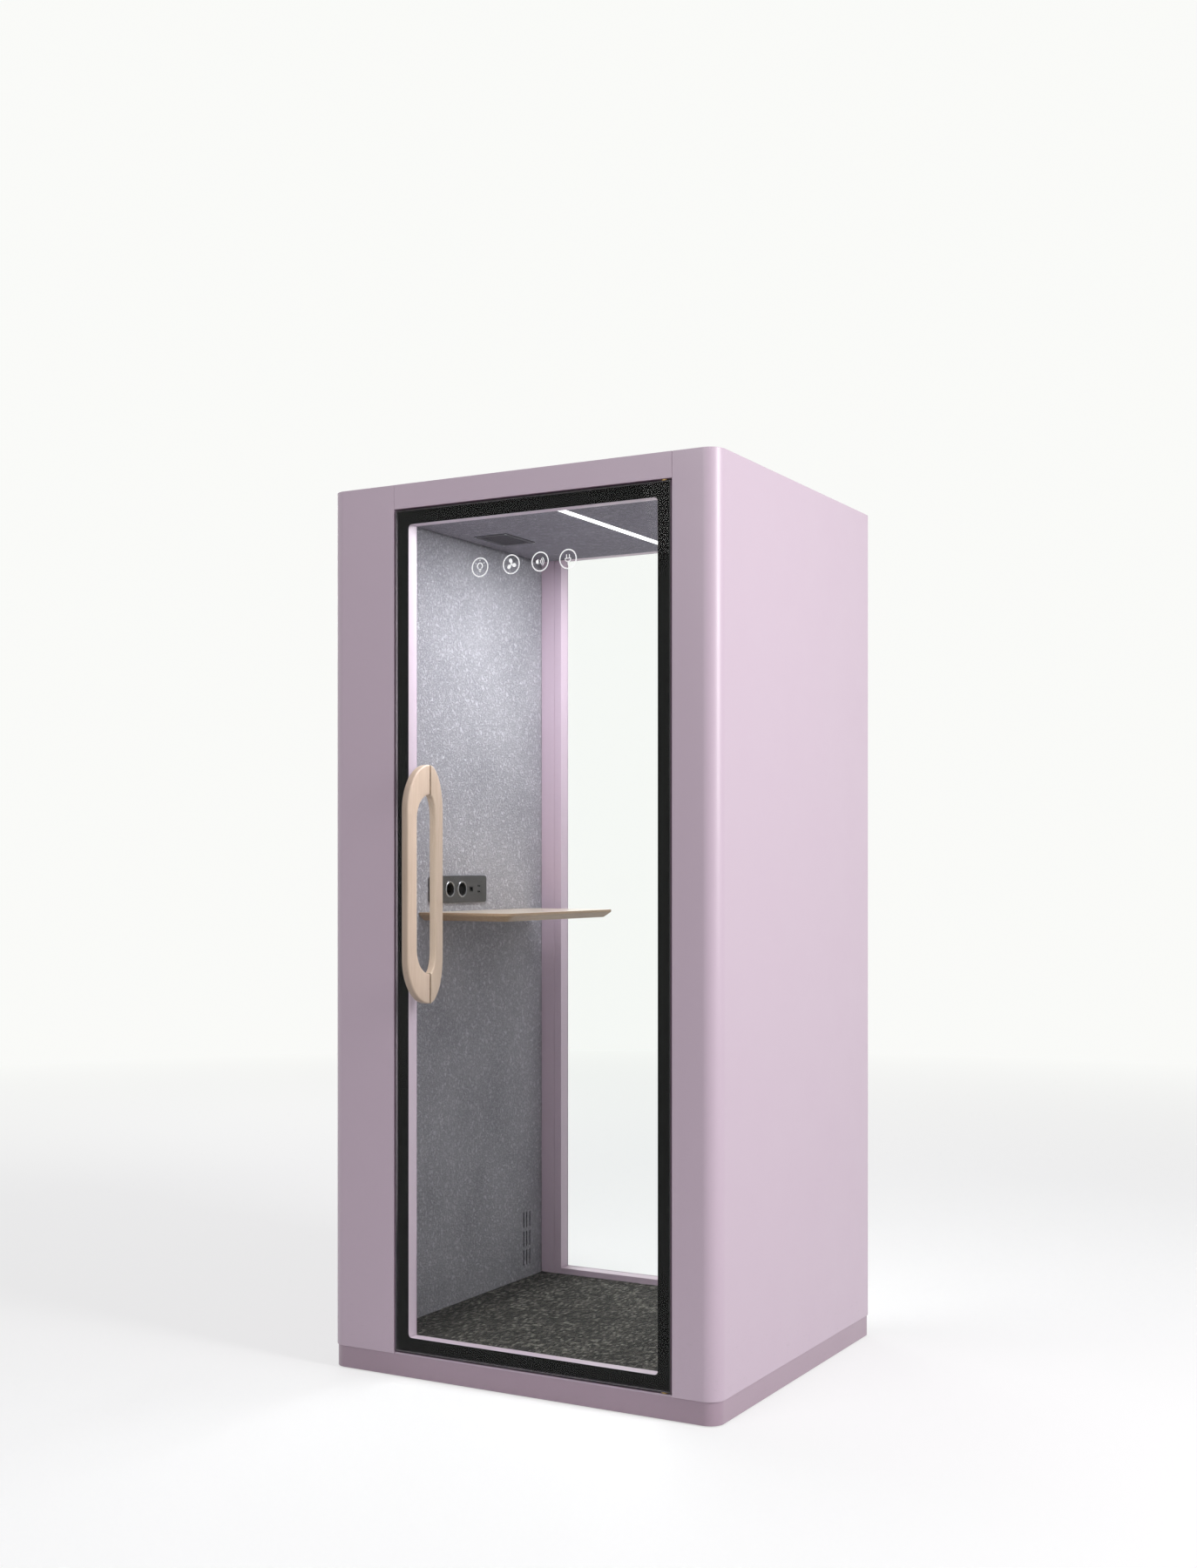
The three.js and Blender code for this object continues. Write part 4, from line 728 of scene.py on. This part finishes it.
def makeWallFelt(name, side, node):
    bm = bmesh.new()
    wide, tall = feltSet["back"] - feltSet["front"], feltSet["high"] - feltSet["low"]
    centre = (side * feltSet["face"], feltSet["front"] + wide / 2, feltSet["low"] + tall / 2)
    turn = Matrix.Rotation(math.radians(-90.0 * side), 4, "Y")
    gridBoard(bm, centre, turn, tall, wide, feltSet["cell"])
    if side < 0:
        near, far = feltSet["cut"]
        slits = feltSet["slits"]
        for y in slits["back"]:
            cutAt(bm, 1, (y, y + slits["wide"]))
        for z in slits["rise"]:
            cutAt(bm, 2, (z, z + slits["tall"]))
        for y in slits["back"]:
            for z in slits["rise"]:
                openInside(bm, (near, y, z), (far, y + slits["wide"], z + slits["tall"]))
        blockLow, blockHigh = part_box("socket_block")
        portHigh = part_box("port_block")[1]
        hole = ((near, blockLow.y / mm, blockLow.z / mm), (far, portHigh.y / mm, blockHigh.z / mm))
        cutAt(bm, 1, (hole[0][1], hole[1][1]))
        cutAt(bm, 2, (hole[0][2], hole[1][2]))
        openInside(bm, *hole)
    pressFace(bm, (side, 0, 0), feltSet["relief"], feltSet["grain"])
    faceTowards(bm, (-side, 0, 0), lambda face: face.calc_area())
    piece = finishPiece(name, bm, finishes["wall_felt"], "pod", (node,), sharp=60.0,
                        outward=False)
    # the cut edges, slit walls included, take the near-black felt as painted shade
    thicken(piece, feltSet["thick"], finishes["slit_edge"])


makeWallFelt("leftFeltBoard", -1, "left_felt")
makeWallFelt("rightFeltBoard", 1, "right_felt")

ceilingSet = {"half": 461.0, "level": 2192.0, "cell": 8.0, "relief": 0.6, "grain": 40.0, "thick": 11.0,
              "light": ((-14.3, -421.3), (14.3, 383.3)), "vent": (345.0, 20.0, 46.3, 71.3),
              "cut": (2000.0, 2400.0)}


def makeCeiling():
    bm = bmesh.new()
    wide, deep = ceilingSet["half"] * 2, feltSet["back"] - feltSet["front"]
    centre = (0, feltSet["front"] + deep / 2, ceilingSet["level"])
    gridBoard(bm, centre, Matrix.Rotation(math.radians(180.0), 4, "X"), wide, deep, ceilingSet["cell"])
    holes = [ceilingSet["light"]]
    ventX, ventY, halfX, halfY = ceilingSet["vent"]
    for x in (-ventX, ventX):
        holes.append(((x - halfX, ventY - halfY), (x + halfX, ventY + halfY)))
    for low, high in holes:
        cutAt(bm, 0, (low[0], high[0]))
        cutAt(bm, 1, (low[1], high[1]))
    under, over = ceilingSet["cut"]
    for low, high in holes:
        openInside(bm, (*low, under), (*high, over))
    pressFace(bm, (0, 0, 1), ceilingSet["relief"], ceilingSet["grain"])
    faceTowards(bm, (0, 0, -1), lambda face: face.calc_area())
    piece = finishPiece("ceilingFeltBoard", bm, finishes["ceiling_felt"], "pod",
                        ("ceiling_panel",), sharp=60.0, outward=False)
    thicken(piece, ceilingSet["thick"])


makeCeiling()
print("felt boards pressed")

# carpet: tufted pile, uneven underfoot
carpetSet = {"half": 449.5, "front": -432.5, "back": 394.5, "top": 85.0, "cell": 4.1, "relief": 1.5,
             "thick": 4.4, "tuft": (92.0, 50.6), "depth": 0.9, "swell": (30.0, 0.12)}


def makeCarpet():
    bm = bmesh.new()
    wide, deep = carpetSet["half"] * 2, carpetSet["back"] - carpetSet["front"]
    centre = (0, carpetSet["front"] + deep / 2, carpetSet["top"])
    gridBoard(bm, centre, Matrix.Identity(4), wide, deep, carpetSet["cell"])
    tuftX, tuftY = carpetSet["tuft"]
    swellScale, swell = carpetSet["swell"]
    for vert in bm.verts:
        gap = noise.voronoi(Vector((vert.co.x * tuftX, vert.co.y * tuftY, 0.0)))[0][0]
        wave = noise.noise(vert.co * swellScale) + 1.0
        vert.co.z -= carpetSet["relief"] * mm * min(1.0, gap * carpetSet["depth"] + swell * wave)
    piece = finishPiece("carpetPile", bm, finishes["carpet"], "pod", ("carpet",), sharp=120.0,
                        outward=False)
    thicken(piece, carpetSet["thick"])


makeCarpet()
print("carpet tufted")

# ring handle: one oval wooden ring, parted by the pane into two halves
handleSet = {"x": -254.0, "width": 20.0, "middle": 1243.0, "parting": -491.0, "steps": 96, "round": 4.0,
             "ring": (98.0, 58.0, 298.0, 116.0), "grip": (57.5, 24.0, 223.0, 62.0),
             "bolts": (983.0, 1503.0), "bore": 6.8, "seat": -470.0, "drill": 120.0, "sharp": 40.0}


def ovalLoop(bm, out, inside, half, arch):
    spin = Matrix.Rotation(math.radians(90.0), 4, "Y") @ Matrix.Rotation(math.pi / handleSet["steps"], 4, "Z")
    loop = bmesh.ops.create_circle(bm, segments=handleSet["steps"], radius=1.0, matrix=spin)["verts"]
    for vert in loop:
        reach = out if vert.co.y < 0 else inside
        straight = half - arch if vert.co.z > 0 else arch - half
        vert.co = Vector(((handleSet["x"] - handleSet["width"] / 2) * mm,
                          (handleSet["parting"] + vert.co.y * reach) * mm,
                          (handleSet["middle"] + straight + vert.co.z * arch) * mm))
    return list({edge for vert in loop for edge in vert.link_edges})


def makeHandle(name, node, outer):
    bm = bmesh.new()
    rim = ovalLoop(bm, *handleSet["ring"])
    hole = ovalLoop(bm, *handleSet["grip"])
    bmesh.ops.bridge_loops(bm, edges=rim + hole)
    growFaces(bm, bm.faces[:], (handleSet["width"] * mm, 0, 0))
    faceOut(bm)
    corners = [edge for edge in bm.edges if edge.calc_face_angle(0.0) > 1.0]
    roundOff(bm, corners, handleSet["round"], 5, "EDGES")
    low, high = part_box(node)
    face = high.y if outer else low.y
    slicePlane(bm, (0, face, 0), (0, 1 if outer else -1, 0), True)
    return finishPiece(name, bm, finishes["pale_wood"], "door", (node,),
                       sharp=handleSet["sharp"])


def boreHandle(piece):
    for level in handleSet["bolts"]:
        bm = bmesh.new()
        middle = handleSet["seat"] + handleSet["drill"] / 2
        place = Matrix.Translation((handleSet["x"] * mm, middle * mm, level * mm))
        bmesh.ops.create_cone(bm, cap_ends=True, segments=32, radius1=handleSet["bore"] * mm,
                              radius2=handleSet["bore"] * mm, depth=handleSet["drill"] * mm,
                              matrix=place @ Matrix.Rotation(math.radians(90.0), 4, "X"))
        tool = placeMesh("boreTool", bm)
        drill = piece.modifiers.new("bore", "BOOLEAN")
        drill.operation = "DIFFERENCE"
        drill.object = tool
        bpy.context.view_layer.update()
        bored = piece.evaluated_get(bpy.context.evaluated_depsgraph_get())
        drilled = bpy.data.meshes.new_from_object(bored)
        piece.modifiers.clear()
        piece.data = drilled
        bpy.data.objects.remove(tool)
    piece.data.set_sharp_from_angle(angle=math.radians(handleSet["sharp"]))


makeHandle("outerGrip", "handle_outer", True)
boreHandle(makeHandle("innerGrip", "handle_inner", False))
print("handle turned")

# shelf: rounded free corners, undercut edge
shelfSet = {"wall": -449.7, "back": 150.0, "right": -165.0, "near": -243.0, "far": 325.0, "top": 1165.0,
            "corner": 28.0, "edge": 7.0, "bevel": 15.0, "undercut": 22.0, "ease": 1.0}


def makeShelf():
    bm = bmesh.new()
    left = shelfSet["wall"] - shelfSet["back"]
    dots = [bm.verts.new((x * mm, y * mm, shelfSet["top"] * mm)) for x, y in
            ((left, shelfSet["near"]), (shelfSet["right"], shelfSet["near"]),
             (shelfSet["right"], shelfSet["far"]), (left, shelfSet["far"]))]
    bm.faces.new(dots)
    roundOff(bm, dots[1:3], shelfSet["corner"], 18, "VERTICES")
    under = growFaces(bm, bm.faces[:], (0, 0, -shelfSet["edge"] * mm))
    faceOut(bm)
    bmesh.ops.inset_region(bm, faces=under, thickness=shelfSet["undercut"] * mm, use_even_offset=True)
    bmesh.ops.translate(bm, verts=list({vert for face in under for vert in face.verts}),
                        vec=(0, 0, -shelfSet["bevel"] * mm))
    slicePlane(bm, (shelfSet["wall"] * mm, 0, 0), (-1, 0, 0), True)
    piece = finishPiece("shelfBoard", bm, finishes["shelf_wood"], "pod", ("table_top",),
                        sharp=25.0)
    # painted light: upward faces take the paler lit oak, the other faces keep the darker shaded oak
    paintFaces(piece, finishes["shelf_top"], lambda face: face.normal.z > 0.5)
    softenEdges(piece, shelfSet["ease"], 3, 20.0)


makeShelf()
print("shelf shaped")

# four ring signs printed on the door pane, with a faint painted glow: lamp, fan, sound, plug
signSet = {"radius": 24.0, "line": 2.8, "level": 2022.0, "face": -495.06, "film": 0.15,
           "places": {"lampSign": -95.0, "fanSign": -4.5, "soundSign": 77.0, "plugSign": 154.6}}


def flatPlace(x, y, wide, tall, turn):
    place = Matrix.Translation((x * mm, y * mm, 0)) @ Matrix.Rotation(math.radians(turn), 4, "Z")
    return place @ Matrix.Diagonal((wide * mm, tall * mm, 1, 1))


def flatDisc(bm, x, y, wide, tall, turn=0.0):
    bmesh.ops.create_circle(bm, cap_ends=True, segments=28, radius=1.0,
                            matrix=flatPlace(x, y, wide, tall, turn))


def flatBar(bm, x, y, wide, tall, turn=0.0):
    bmesh.ops.create_grid(bm, x_segments=1, y_segments=1, size=0.5,
                          matrix=flatPlace(x, y, wide, tall, turn))


def flatArc(bm, x, y, radius, line, start, sweep, steps=24):
    angle = math.radians(start)
    inner, outer = (radius - line / 2) * mm, (radius + line / 2) * mm
    centre = Vector((x * mm, y * mm, 0))
    ray = Vector((math.cos(angle), math.sin(angle), 0))
    ends = [bm.verts.new(centre + ray * inner), bm.verts.new(centre + ray * outer)]
    edge = bm.edges.new(ends)
    bmesh.ops.spin(bm, geom=ends + [edge], cent=centre, axis=(0, 0, 1), angle=math.radians(sweep),
                   steps=steps, use_merge=sweep == 360)


def drawLamp(bm):
    flatArc(bm, 0, 3, 7.2, 2.6, -52, 284)
    flatBar(bm, 0, -5.2, 8.0, 1.8)
    flatBar(bm, 0, -8.4, 6.4, 1.8)
    flatBar(bm, 0, -11.2, 3.6, 1.6)
    for turn in (30, 90, 150):
        angle = math.radians(turn)
        flatBar(bm, 13.5 * math.cos(angle), 3 + 13.5 * math.sin(angle), 3.6, 1.5, turn)


def drawFan(bm):
    flatDisc(bm, 0, 0, 2.6, 2.6)
    for turn in (90, 210, 330):
        angle = math.radians(turn)
        flatDisc(bm, 8.6 * math.cos(angle + 0.22), 8.6 * math.sin(angle + 0.22), 5.6, 4.6, turn + 24)


def drawSound(bm):
    flatBar(bm, -9.5, 0, 4.4, 7.0)
    flatBar(bm, -6.2, 0, 3.4, 11.0)
    for radius in (6.0, 10.4, 14.8):
        flatArc(bm, -4.5, 0, radius, 1.8, -42, 84)


def drawPlug(bm):
    flatArc(bm, 0, 1.0, 7.6, 1.8, 180, 180)
    flatBar(bm, 0, 1.6, 17.0, 1.8)
    flatBar(bm, -4.0, 6.8, 2.0, 9.0)
    flatBar(bm, 4.0, 6.8, 2.0, 9.0)
    flatBar(bm, 0, -10.6, 2.0, 6.6)


drawings = {"lampSign": drawLamp, "fanSign": drawFan, "soundSign": drawSound, "plugSign": drawPlug}
upright = Matrix.Rotation(math.radians(90.0), 4, "X")
for signName, signX in signSet["places"].items():
    bm = bmesh.new()
    flatArc(bm, 0, 0, signSet["radius"] - signSet["line"] / 2, signSet["line"], 0, 360, 72)
    drawings[signName](bm)
    place = Matrix.Translation((signX * mm, signSet["face"] * mm, signSet["level"] * mm))
    bmesh.ops.transform(bm, matrix=place @ upright, verts=bm.verts[:])
    faceOut(bm)
    growFaces(bm, bm.faces[:], (0, -signSet["film"] * mm, 0))
    finishPiece(signName, bm, finishes["print"], "door")
print("signs printed")

# socket fittings: turned bezels, earth clips, port surrounds and contacts
socketSet = {"plate": -446.0, "level": 1225.0, "wells": (-160.0, -100.0, -40.0),
             "bezel": ((18.4, -1.2), (18.4, 1.0), (19.2, 1.6), (21.0, 1.6), (22.2, 0.3), (22.2, -0.2)),
             "clip": (6.0, 4.0, 1.4), "clipAt": (-456.0, 17.6),
             "ports": ((5.0, 1224.5, 17.0, 15.0), (45.0, 1217.0, 11.5, 6.6), (45.0, 1233.0, 11.5, 6.6)),
             "rim": 1.8, "proud": 0.9, "rimEase": 0.25,
             "pins": {"count": 8, "pitch": 1.15, "at": (-458.0, 5.0, 1227.4), "size": (7.0, 0.5, 0.6)},
             "tongues": {"at": ((-453.0, 45.0, 1217.0), (-453.0, 45.0, 1233.0)), "size": (6.0, 6.2, 0.8)}}


def turnBezel(bm, y):
    centre = Vector((socketSet["plate"] * mm, y * mm, socketSet["level"] * mm))
    dots = [bm.verts.new(centre + Vector((rise * mm, 0, radius * mm)))
            for radius, rise in socketSet["bezel"]]
    lines = [bm.edges.new(pair) for pair in zip(dots, dots[1:] + dots[:1])]
    bmesh.ops.spin(bm, geom=dots + lines, cent=centre, axis=(1, 0, 0), angle=math.radians(360.0),
                   steps=48, use_merge=True)


def easedBlock(bm, centre, size, edge=0.25):
    place = Matrix.Translation(Vector(centre) * mm) @ Matrix.Diagonal(Vector(size).to_4d() * mm)
    place[3][3] = 1.0
    made = bmesh.ops.create_cube(bm, size=1.0, matrix=place)["verts"]
    sides = list({line for vert in made for line in vert.link_edges})
    roundOff(bm, sides, edge, 2, "EDGES")


def portRim(bm, y, z, wide, tall):
    place = Matrix.Translation((socketSet["plate"] * mm, y * mm, z * mm))
    turn = Matrix.Rotation(math.radians(90), 4, "Y")
    size = Matrix.Diagonal((tall * mm, wide * mm, 1.0, 1.0))
    made = bmesh.ops.create_grid(bm, x_segments=1, y_segments=1, size=0.5,
                                 matrix=place @ turn @ size)["verts"]
    face = list({item for vert in made for item in vert.link_faces})
    ring = bmesh.ops.inset_region(bm, faces=face, thickness=socketSet["rim"] * mm, use_even_offset=True,
                                  use_boundary=True)["faces"]
    bmesh.ops.delete(bm, geom=face, context="FACES")
    growFaces(bm, ring, (socketSet["proud"] * mm, 0, 0))


bezels = bmesh.new()
for wellY in socketSet["wells"]:
    turnBezel(bezels, wellY)
finishPiece("socketBezels", bezels, finishes["bezel"], "pod", sharp=40.0)
clips = bmesh.new()
clipX, clipReach = socketSet["clipAt"]
for wellY in socketSet["wells"]:
    for side in (-1, 1):
        easedBlock(clips, (clipX, wellY, socketSet["level"] + side * clipReach), socketSet["clip"])
pins = socketSet["pins"]
pinX, pinY, pinZ = pins["at"]
for step in range(pins["count"]):
    shift = (step - (pins["count"] - 1) / 2) * pins["pitch"]
    easedBlock(clips, (pinX, pinY + shift, pinZ), pins["size"], 0.1)
finishPiece("socketContacts", clips, finishes["bronze"], "pod", sharp=40.0)
rims = bmesh.new()
for portValues in socketSet["ports"]:
    portRim(rims, *portValues)
rimPiece = finishPiece("portRims", rims, finishes["socket_black"], "pod", sharp=30.0)
softenEdges(rimPiece, socketSet["rimEase"])
tongues = bmesh.new()
for tonguePlace in socketSet["tongues"]["at"]:
    easedBlock(tongues, tonguePlace, socketSet["tongues"]["size"], 0.2)
finishPiece("portTongues", tongues, finishes["socket_black"], "pod", sharp=40.0)
print("sockets fitted")

# small screws: roof cover, vent grilles and the back of the plinth
screwSet = {"radius": 3.4, "crown": 2.5, "rise": 0.9, "key": 1.5, "deep": 0.7, "steps": 18,
            "roofLevel": 2248.0, "roofSides": ((-505, 505), (-430, -145, 145, 430)),
            "roofEnds": ((-250, 0, 250), (-458, 458)), "grille": (345.0, 20.0, 49.0, 74.0, 2190.0),
            "plinth": ((-420, -140, 140, 320, 432), 492.0, 38.0)}


def screwHead(bm, place, turn):
    spot = Matrix.Translation(Vector(place) * mm) @ turn
    lift = spot @ Matrix.Translation((0, 0, screwSet["rise"] * mm / 2))
    made = bmesh.ops.create_cone(
        bm, cap_ends=True, segments=screwSet["steps"], radius1=screwSet["radius"] * mm,
        radius2=screwSet["crown"] * mm, depth=screwSet["rise"] * mm, matrix=lift)["verts"]
    outward = (spot.to_3x3() @ Vector((0, 0, 1))).normalized()
    bm.normal_update()
    faces = {face for vert in made for face in vert.link_faces}
    crown = max(faces, key=lambda face: face.calc_center_median().dot(outward))
    bmesh.ops.inset_region(bm, faces=[crown], thickness=(screwSet["crown"] - screwSet["key"]) * mm)
    growFaces(bm, [crown], -outward * screwSet["deep"] * mm)
    bmesh.ops.delete(bm, geom=[crown], context="FACES")


screws = bmesh.new()
for roofX, roofY in (screwSet["roofSides"], screwSet["roofEnds"]):
    for x in roofX:
        for y in roofY:
            screwHead(screws, (x, y, screwSet["roofLevel"]), Matrix.Identity(4))
upsideDown = Matrix.Rotation(math.pi, 4, "X")
ventX, ventY, sideX, sideY, ventZ = screwSet["grille"]
for side in (-1, 1):
    for alongX in (-sideX, sideX):
        for alongY in (-sideY, sideY):
            screwHead(screws, (side * ventX + alongX, ventY + alongY, ventZ), upsideDown)
plinthX, plinthY, plinthZ = screwSet["plinth"]
for x in plinthX:
    screwHead(screws, (x, plinthY, plinthZ), Matrix.Rotation(-math.pi / 2, 4, "X"))
finishPiece("smallScrews", screws, finishes["bright_steel"], "pod", sharp=40.0)
print("screws driven")

# floor, world and lamps
stageSet = {"size": 60.0, "fade": (3.2, 8.0), "grey": 0.36, "glow": 0.62, "bounce": 0.55,
            "ambient": (0.31, 0.306, 0.318), "back": (0.955, 0.96, 0.94)}


# rays that look straight at the stage, also in gloss or through glass
def directView(tree):
    rays = addNode(tree, "ShaderNodeLightPath").outputs
    indirect = sums(tree, "MAXIMUM", rays["Is Glossy Ray"], rays["Is Transmission Ray"])
    return sums(tree, "MAXIMUM", rays["Is Camera Ray"], indirect)


def makeFloor():
    bm = bmesh.new()
    bmesh.ops.create_circle(bm, cap_ends=True, segments=64, radius=stageSet["size"])
    floor = placeMesh("studioFloor", bm)
    material, tree = newMaterial("studioFloor")
    tree.nodes.remove(tree.nodes["Principled BSDF"])
    length = vectorNode(tree, "LENGTH", objectPlace(tree))
    far = spread(tree, length.outputs["Value"], stageSet["fade"][0], stageSet["fade"][1], 0.0, 1.0)
    near = addNode(tree, "ShaderNodeBsdfDiffuse")
    near.inputs["Color"].default_value = (stageSet["grey"],) * 3 + (1,)
    glow = addNode(tree, "ShaderNodeEmission")
    glow.inputs["Strength"].default_value = stageSet["glow"]
    both = addNode(tree, "ShaderNodeAddShader")
    white = addNode(tree, "ShaderNodeEmission")
    white.inputs["Color"].default_value = stageSet["back"] + (1,)
    seen = addNode(tree, "ShaderNodeMixShader")
    bounce = addNode(tree, "ShaderNodeBsdfDiffuse")
    bounce.inputs["Color"].default_value = (stageSet["bounce"],) * 3 + (1,)
    watch = directView(tree)
    final = addNode(tree, "ShaderNodeMixShader")
    tree.links.new(near.outputs[0], both.inputs[0])
    tree.links.new(glow.outputs[0], both.inputs[1])
    tree.links.new(far, seen.inputs[0])
    tree.links.new(both.outputs[0], seen.inputs[1])
    tree.links.new(white.outputs[0], seen.inputs[2])
    tree.links.new(watch, final.inputs[0])
    tree.links.new(bounce.outputs[0], final.inputs[1])
    tree.links.new(seen.outputs[0], final.inputs[2])
    tree.links.new(final.outputs[0], tree.nodes["Material Output"].inputs["Surface"])
    floor.data.materials.append(material)


def makeWorld():
    world = bpy.data.worlds.new("studioWorld")
    scene.world = world
    world.use_nodes = True
    tree = world.node_tree
    fill = tree.nodes["Background"]
    fill.inputs["Color"].default_value = stageSet["ambient"] + (1,)
    white = addNode(tree, "ShaderNodeBackground")
    white.inputs["Color"].default_value = stageSet["back"] + (1,)
    watch = directView(tree)
    mix = addNode(tree, "ShaderNodeMixShader")
    tree.links.new(watch, mix.inputs[0])
    tree.links.new(fill.outputs[0], mix.inputs[1])
    tree.links.new(white.outputs[0], mix.inputs[2])
    tree.links.new(mix.outputs[0], tree.nodes["World Output"].inputs["Surface"])


lampSet = {
    "rightSoft": {"place": (4.4, -0.75, 3.0), "aim": (0.5, -0.1, 1.2), "size": (1.1, 3.0), "power": 172.0},
    "frontSoft": {"place": (-0.9, -5.6, 4.4), "aim": (0.0, -0.4, 1.5), "size": (3.0, 3.0), "power": 80.0},
    "backSoft": {"place": (-4.0, 4.2, 3.8), "aim": (-0.2, 0.3, 1.2), "size": (3.0, 3.0), "power": 88.0},
    "ceilingStrip": {"place": (0.0, -0.019, 2.1895), "aim": (0.0, -0.019, 0.0), "size": (0.023, 0.8),
                     "power": 12.0, "tint": (0.965, 0.975, 1.0)},
}


def makeLamp(name, values):
    lamp = bpy.data.lights.new(name, "AREA")
    lamp.shape = "RECTANGLE"
    lamp.size, lamp.size_y = values["size"]
    lamp.energy = values["power"]
    lamp.color = values.get("tint", (1.0, 1.0, 1.0))
    holder = bpy.data.objects.new(name, lamp)
    holder.location = values["place"]
    aim = Vector(values["aim"]) - Vector(values["place"])
    holder.rotation_euler = aim.to_track_quat("-Z", "Y").to_euler()
    holder.visible_camera = False
    holder.visible_transmission = False
    scene.collection.objects.link(holder)


makeFloor()
makeWorld()
for lampName, lampValues in lampSet.items():
    makeLamp(lampName, lampValues)
print("stage lit")
